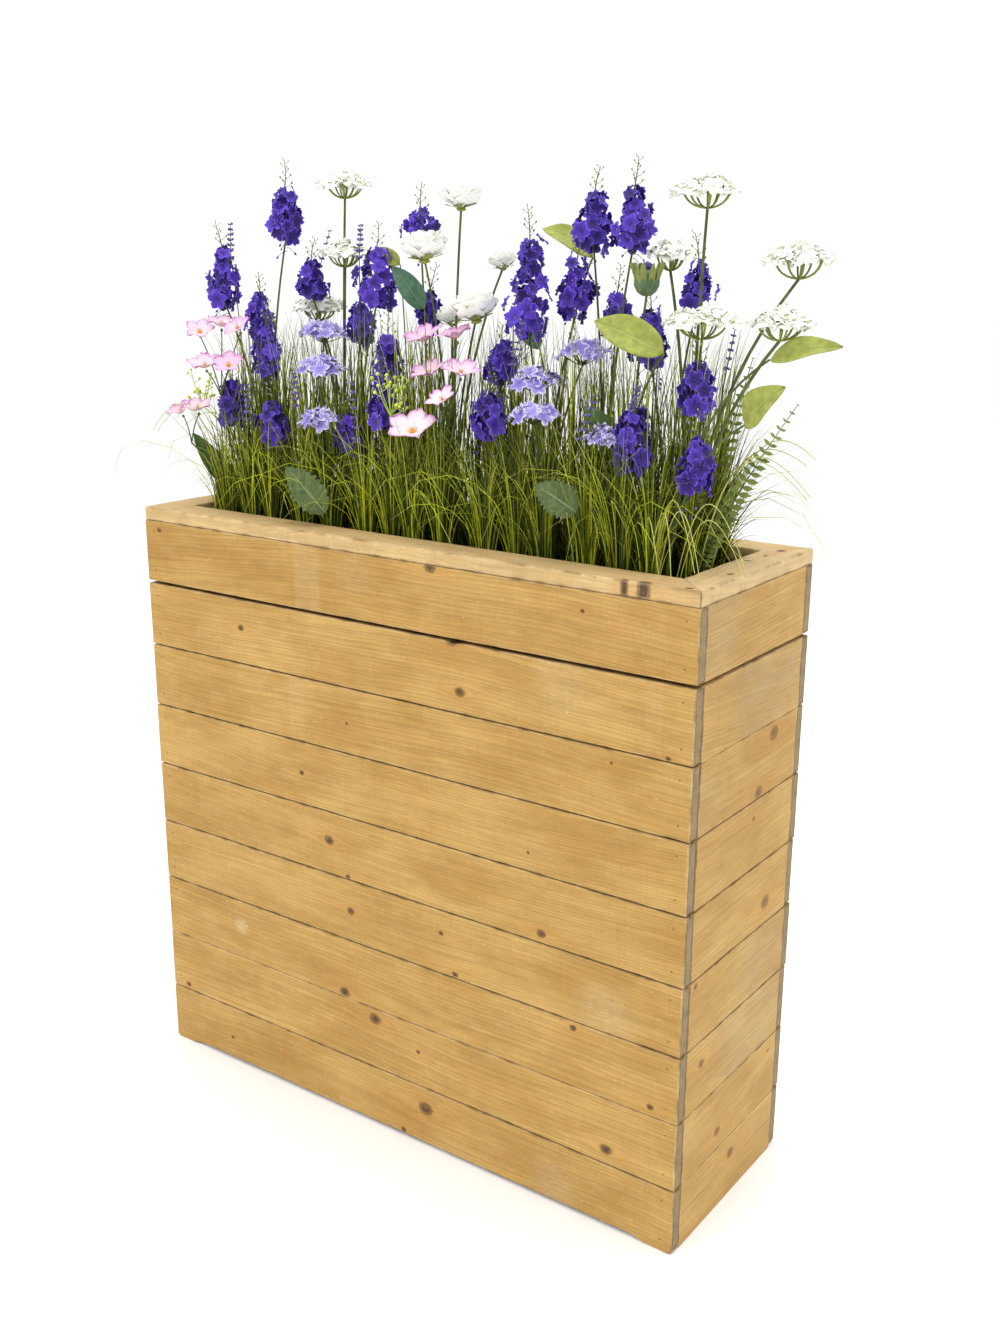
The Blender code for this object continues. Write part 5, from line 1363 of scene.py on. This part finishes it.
leaf_light = leaf_finish("light leaf", (0.215, 0.250, 0.040), (0.330, 0.360, 0.075), (0.36, 0.38, 0.13))
leaf_dark = leaf_finish("dark leaf", (0.030, 0.070, 0.015), (0.075, 0.130, 0.030), (0.16, 0.22, 0.07))
leaf_blue = leaf_finish("blue green leaf", (0.030, 0.085, 0.050), (0.070, 0.150, 0.085), (0.14, 0.24, 0.14))


def leafy_stems():
    """The right, middle and back leafy stems."""
    stems = {
        "leafy_stem_right": ((0.396, -0.070), [
            ((0.536, -0.090, 1.224), (0.628, -0.094, 1.243), 0.034, leaf_light, 0.06, (0.2, -0.75, 0.7)),
            ((0.512, -0.100, 1.146), (0.568, -0.112, 1.196), 0.042, leaf_light, 0.10, (0.1, -0.9, 0.5))]),
        "leafy_stem_middle": ((0.300, -0.040), [
            ((0.388, -0.080, 1.224), (0.292, -0.092, 1.262), 0.048, leaf_light, 0.05, (0.4, -0.85, 0.5)),
            ((0.300, -0.052, 1.100), (0.262, -0.058, 1.150), 0.030, leaf_dark, 0.10, (0.5, -0.8, 0.4))]),
        "leafy_stem_back": ((0.128, 0.068), [
            ((0.168, 0.100, 1.338), (0.075, 0.110, 1.378), 0.034, leaf_light, 0.12, (0.3, -0.7, 0.7)),
            ((0.100, 0.070, 1.210), (0.050, 0.086, 1.250), 0.030, leaf_blue, 0.10, (0.5, -0.8, 0.4))]),
    }
    for node, (foot, leaves) in stems.items():
        routes = [(stem_route(foot, start, 0.75, 14), 0.0024, 0.0013) for start, *_ in leaves]
        parts = [leaf(f"{node}_leaf_{number}", start, tip, wide, finish, sag=sag, looks=looks)
                 for number, (start, tip, wide, finish, sag, looks) in enumerate(leaves)]
        piece = joined(f"{node}_leaves", [tubes(f"{node}_stems", routes, stem_green, 6)] + parts)
        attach(piece, "root")
        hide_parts(node)


leafy_stems()


# ---- Low leaves and ferns -----------------------------------------------------------------
# Grey-green toothed leaves and one smooth dark leaf are tucked in among the grass, two smooth
# ones stand on long stalks at the back, and ladder ferns lean out at the right end.

leaf_grey = leaf_finish("grey green leaf", (0.056, 0.088, 0.026), (0.110, 0.150, 0.048), (0.27, 0.33, 0.15), 7.0, 0.6)
fern_green = green_finish("fern green", (0.080, 0.120, 0.022), (0.220, 0.280, 0.065))


def low_leaves():
    """The toothed leaves of the front strips, the smooth leaf at the left end and the two high ones."""
    places = {
        "low_leaf_left": ((-0.430, -0.040, 0.975), (-0.482, -0.070, 1.060), 0.034, leaf_dark, 0, (-0.398, -0.05)),
        "low_leaf_middle": ((-0.150, -0.122, 0.971), (-0.216, -0.134, 1.036), 0.050, leaf_grey, 5, (-0.150, -0.100)),
        "low_leaf_right": ((0.288, -0.118, 1.018), (0.232, -0.134, 1.052), 0.048, leaf_grey, 5, (0.270, -0.100)),
        "high_leaf_left": ((-0.142, 0.050, 1.326), (-0.197, 0.050, 1.347), 0.026, leaf_light, 0, (-0.150, 0.080)),
        "high_leaf_right": ((-0.080, 0.030, 1.262), (-0.141, 0.030, 1.324), 0.034, leaf_blue, 0, (-0.060, 0.078)),
    }
    for name, (start, tip, wide, finish, teeth, foot) in places.items():
        stalk = tubes(f"{name}_stalk", [(stem_route(foot, start, 0.6, 8), 0.0014, 0.0009)], stem_green)
        piece = joined(name, [stalk, leaf(f"{name}_blade", start, tip, wide, finish, teeth, widest=0.36)])
        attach(piece, "root")


def ferns():
    """Three ladder ferns whose leaflets shorten towards the tip."""
    fronds = (((0.402, 0.010), (0.452, 0.040, 1.215), 0.030), ((0.406, -0.010), (0.540, -0.010, 1.165), 0.032),
              ((0.398, -0.020), (0.440, -0.052, 1.160), 0.028))
    steps, first_leaflet = 36, 9
    points, faces, reach, _ = petal_ring(1, 0.0, 1.0, 0.50, 0.10, 0.22, seed=2, tip=0.12)
    leaflet = pattern_of("fern leaflet", points, faces, reach=reach, eye=0.0)
    dice = random.Random(900)
    routes, leaflets = [], []
    for foot, tip, wide in fronds:
        route = stem_route(foot, tip, 0.30, steps)
        routes.append((route, 0.0013, 0.0005))
        for index in range(first_leaflet, steps + 1):
            ahead = (route[index] - route[index - 1]).normalized()
            side = ahead.cross(Vector((0.3, -1.0, 0.2))).cross(ahead).normalized()
            side = ahead.cross(side).normalized()
            length = wide / 2 * sin(pi * min(1.0, (index - 7) / steps * 1.1 + 0.08)) ** 0.8
            for hand in (-1, 1):
                out = (side * hand + ahead * 0.35).normalized()
                facing = out.cross(ahead).normalized() * hand + up(0.25)
                facing = (facing - out * facing.dot(out)).normalized()
                leaflets.append((route[index], facing, roll_towards(facing, out), length * dice.uniform(0.9, 1.05),
                                 dice.random()))
    piece = joined("ladder_ferns", [tubes("fern_stalks", routes, fern_green, 4),
                                    copies("fern_leaflets", leaflet, leaflets, fern_green)])
    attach(piece, "root")
    bpy.data.objects.remove(leaflet)


low_leaves()
ferns()


# ---- Berry sprays and seed head -----------------------------------------------------------
# Two branched sprays of small yellow-green plastic berries, and one ribbed green seed head with
# a crown of sepals, which stands on its own stem among the flowers at the back.

berry_green = green_finish("berry green", (0.400, 0.500, 0.050), (0.680, 0.740, 0.130), 0.4)
sepal_green = green_finish("sepal green", (0.160, 0.190, 0.045), (0.330, 0.340, 0.110))
seed_green = green_finish("seed head green", (0.065, 0.115, 0.052), (0.170, 0.240, 0.110), 0.5)


def berries():
    """The left and the middle spray, of nine twigs with three berries each."""
    sprays = {"berries_left": ((-0.397, 0.024), (-0.520, -0.010, 1.125), 0.8),
              "berries_middle": ((-0.050, -0.052), (-0.058, -0.078, 1.146), 0.9)}
    twigs, fork_below = 9, 0.030
    berry = bud_pattern("berry", 0.0034, 0.0068, 7, 3)
    for number, (node, (foot, middle, size)) in enumerate(sprays.items()):
        dice = random.Random(950 + number)
        middle = Vector(middle)
        fork = middle - up(fork_below)
        routes, spots = [(stem_route(foot, fork), 0.0017, 0.0012)], []
        for index in range(twigs):
            turn = index * spiral + 0.7
            end = middle + Vector((cos(turn) * dice.uniform(0.012, 0.030), sin(turn) * dice.uniform(0.006, 0.016),
                                   dice.uniform(-0.020, 0.032)))
            route = bowed(fork, fork.lerp(end, 0.5) + outward(turn) * 0.004, end)
            routes.append((route, 0.0009, 0.0006))
            for step, stalk in ((4, 0.008), (5, 0.009), (6, 0.0)):
                tip = route[step] + outward(dice.uniform(0, 6.28), 0.5) * stalk
                if stalk:
                    routes.append(([route[step], route[step].lerp(tip, 0.5), tip], 0.0006, 0.0005))
                spots.append((tip, tip - route[step - 1], 0.0, dice.uniform(0.85, 1.15) * size, dice.random()))
        piece = joined(f"{node}_spray", [tubes(f"{node}_stems", routes, berry_green),
                                         copies(f"{node}_berries", berry, spots, berry_green)])
        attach(piece, "root")
        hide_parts(node)
    bpy.data.objects.remove(berry)


def seed_head():
    """A ribbed bud on its stem, with pointed sepals up its sides and dull violet stamens on top."""
    foot, base, wide, tall = (0.300, -0.008), Vector((0.331, -0.030, 1.291)), 0.036, 0.042
    outline = ((0.0, 0.0), (0.34, 0.03), (0.66, 0.14), (0.86, 0.32), (0.88, 0.50), (0.76, 0.66), (0.52, 0.78),
               (0.0, 0.84))
    ribs, around = 9, 36
    points, faces = [], []
    for radius, height in outline:
        for k in range(around):
            turn = 2 * pi * k / around
            rib = 1.0 + 0.07 * cos(ribs * turn) * (radius > 0.2)
            points.append(base + outward(turn) * max(0.0004, radius * wide / 2 * rib) + up(height * tall))
    for ring in range(len(outline) - 1):
        for k in range(around):
            a, b = ring * around + k, ring * around + (k + 1) % around
            faces.append((a, b, b + around, a + around))
    faces += [tuple(reversed(range(around))), tuple(range(len(points) - around, len(points)))]
    body = mesh_piece("seed_head_body", points, faces, seed_green)
    body.data.shade_smooth()
    points, faces, _, _ = petal_ring(10, 0.0120, 0.0085, 0.0085, 3.7, -0.5, 0.001, 5, 2, seed=6, tip=0.3)
    sepals = mesh_piece("seed_head_sepals", [Vector(point) + base + up(0.006) for point in points], faces, sepal_green)
    points, faces = small_ball(0.0085, 0.014, 9, 3, 0.030)
    tuft = mesh_piece("seed_head_tuft", [Vector(point) + base for point in points], faces, bud_violet)
    stem = tubes("seed_head_stem", [(stem_route(foot, base), 0.0022, 0.0017)], stem_green, 6)
    piece = joined("seed_head_stalk", [body, sepals, tuft, stem])
    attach(piece, "root")
    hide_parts("seed_head")


berries()
seed_head()


# ---- Lavender spikes ----------------------------------------------------------------------
# Twelve wiry lavender stems stand between the larger flowers. Each carries rings of small violet
# buds, set one above the other and closer together towards the tip.

dusty_violet = petal_finish("dusty violet buds", (0.075, 0.050, 0.190), (0.240, 0.200, 0.480), (0.1, 0.1, 0.1),
                            vein=0.4)


def lavender():
    """Each spike with its stem, as one piece."""
    spikes = [
        (-0.429, -0.020, 1.333, 0.050, 1.15), (-0.197, 0.020, 1.335, 0.046, 1.1), (-0.311, 0.050, 1.305, 0.070, 0.8),
        (-0.186, 0.030, 1.274, 0.050, 0.85), (0.263, -0.075, 1.107, 0.058, 1.0), (0.339, -0.080, 1.141, 0.040, 1.0),
        (-0.243, -0.080, 1.118, 0.050, 1.0), (-0.120, -0.085, 1.078, 0.080, 1.05), (-0.340, -0.090, 1.092, 0.054, 0.95),
        (0.128, -0.040, 1.195, 0.055, 0.85), (0.420, 0.030, 1.200, 0.060, 0.8), (0.060, 0.060, 1.260, 0.060, 0.8)]
    rings, buds_around, buds_at_tip = 7, 8, 5
    farthest_x, farthest_y = 0.40, 0.09
    bud = bud_pattern("lavender bud", 0.0019, 0.0052)
    dice = random.Random(820)
    for number, (x, y, z, long, size) in enumerate(spikes, 1):
        base = Vector((x, y, z))
        top = base + Vector((dice.uniform(-0.08, 0.45) * long, 0, long))
        foot = (max(-farthest_x, min(farthest_x, x + dice.uniform(-0.01, 0.01))),
                max(-farthest_y, min(farthest_y, y)))
        routes = [(stem_route(foot, base), 0.0013, 0.0010), ([base.lerp(top, t / 6) for t in range(7)], 0.0010, 0.0006)]
        buds = []
        for ring in range(rings):
            t = (ring / (rings - 1)) ** 0.85
            around = buds_around if ring < rings - 1 else buds_at_tip
            for index in range(around):
                out = outward(2 * pi * index / around + ring * 0.7 + dice.uniform(-0.2, 0.2))
                spot = base.lerp(top, t) + out * 0.0012 + up(dice.uniform(-0.0012, 0.0012))
                buds.append((spot, out + up(dice.uniform(0.2, 0.9)), 0.0,
                             size * dice.uniform(0.8, 1.15) * (1.1 - 0.35 * t), dice.random()))
        name = f"lavender_{number}"
        piece = joined(name, [tubes(f"{name}_stem", routes, stem_green, 4),
                              copies(f"{name}_buds", bud, buds, dusty_violet)])
        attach(piece, "root")
    bpy.data.objects.remove(bud)


lavender()


# ---- Fallen blades ------------------------------------------------------------------------
# Long pale blades of the moulded grass hang over the rim at the front right corner and out past
# the ends, each rising from its clump and bending over under its own weight.

pale_blade = green_finish("pale grass blades", (0.400, 0.420, 0.080), (0.720, 0.700, 0.280))


def fallen_blades():
    """Pairs of thin arched blades, given by foot, knee and tip: at the right corner, the right and the left end."""
    bends = [((0.388, -0.086), (0.432, -0.105, 1.085), (0.486, -0.148, 0.960)),
             ((0.376, -0.092), (0.405, -0.112, 1.070), (0.446, -0.158, 0.957)),
             ((0.402, -0.066), (0.474, -0.096, 1.075), (0.545, -0.134, 0.965)),
             ((0.408, -0.030), (0.480, -0.040, 1.120), (0.572, -0.030, 1.040)),
             ((0.408, 0.010), (0.470, 0.000, 1.140), (0.552, 0.010, 1.090)),
             ((-0.404, -0.050), (-0.470, -0.066, 1.130), (-0.560, -0.080, 1.045)),
             ((-0.408, -0.020), (-0.450, -0.040, 1.120), (-0.535, -0.050, 1.065))]
    steps = 16
    dice = random.Random(860)
    routes = []
    for foot, middle, end in bends:
        for _ in range(2):
            root = Vector((foot[0] + dice.uniform(-0.004, 0.004), foot[1] + dice.uniform(-0.004, 0.004), filling_top))
            jog = Vector((dice.uniform(-0.016, 0.016), dice.uniform(-0.006, 0.012), dice.uniform(-0.020, 0.020)))
            knee, tip = Vector(middle) + jog, Vector(end) + jog * 0.5 + up(0.006)
            rise, crest = root.lerp(knee, 0.55) + up(0.055), knee + up(0.02)
            lower, upper = bowed(root, rise, crest, steps), bowed(rise, crest, tip, steps)
            routes.append(([first.lerp(second, step / steps) for step, (first, second) in enumerate(zip(lower, upper))],
                           0.0011, 0.0005))
    piece = tubes("fallen_blades", routes, pale_blade, 4)
    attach(piece, "root")


fallen_blades()
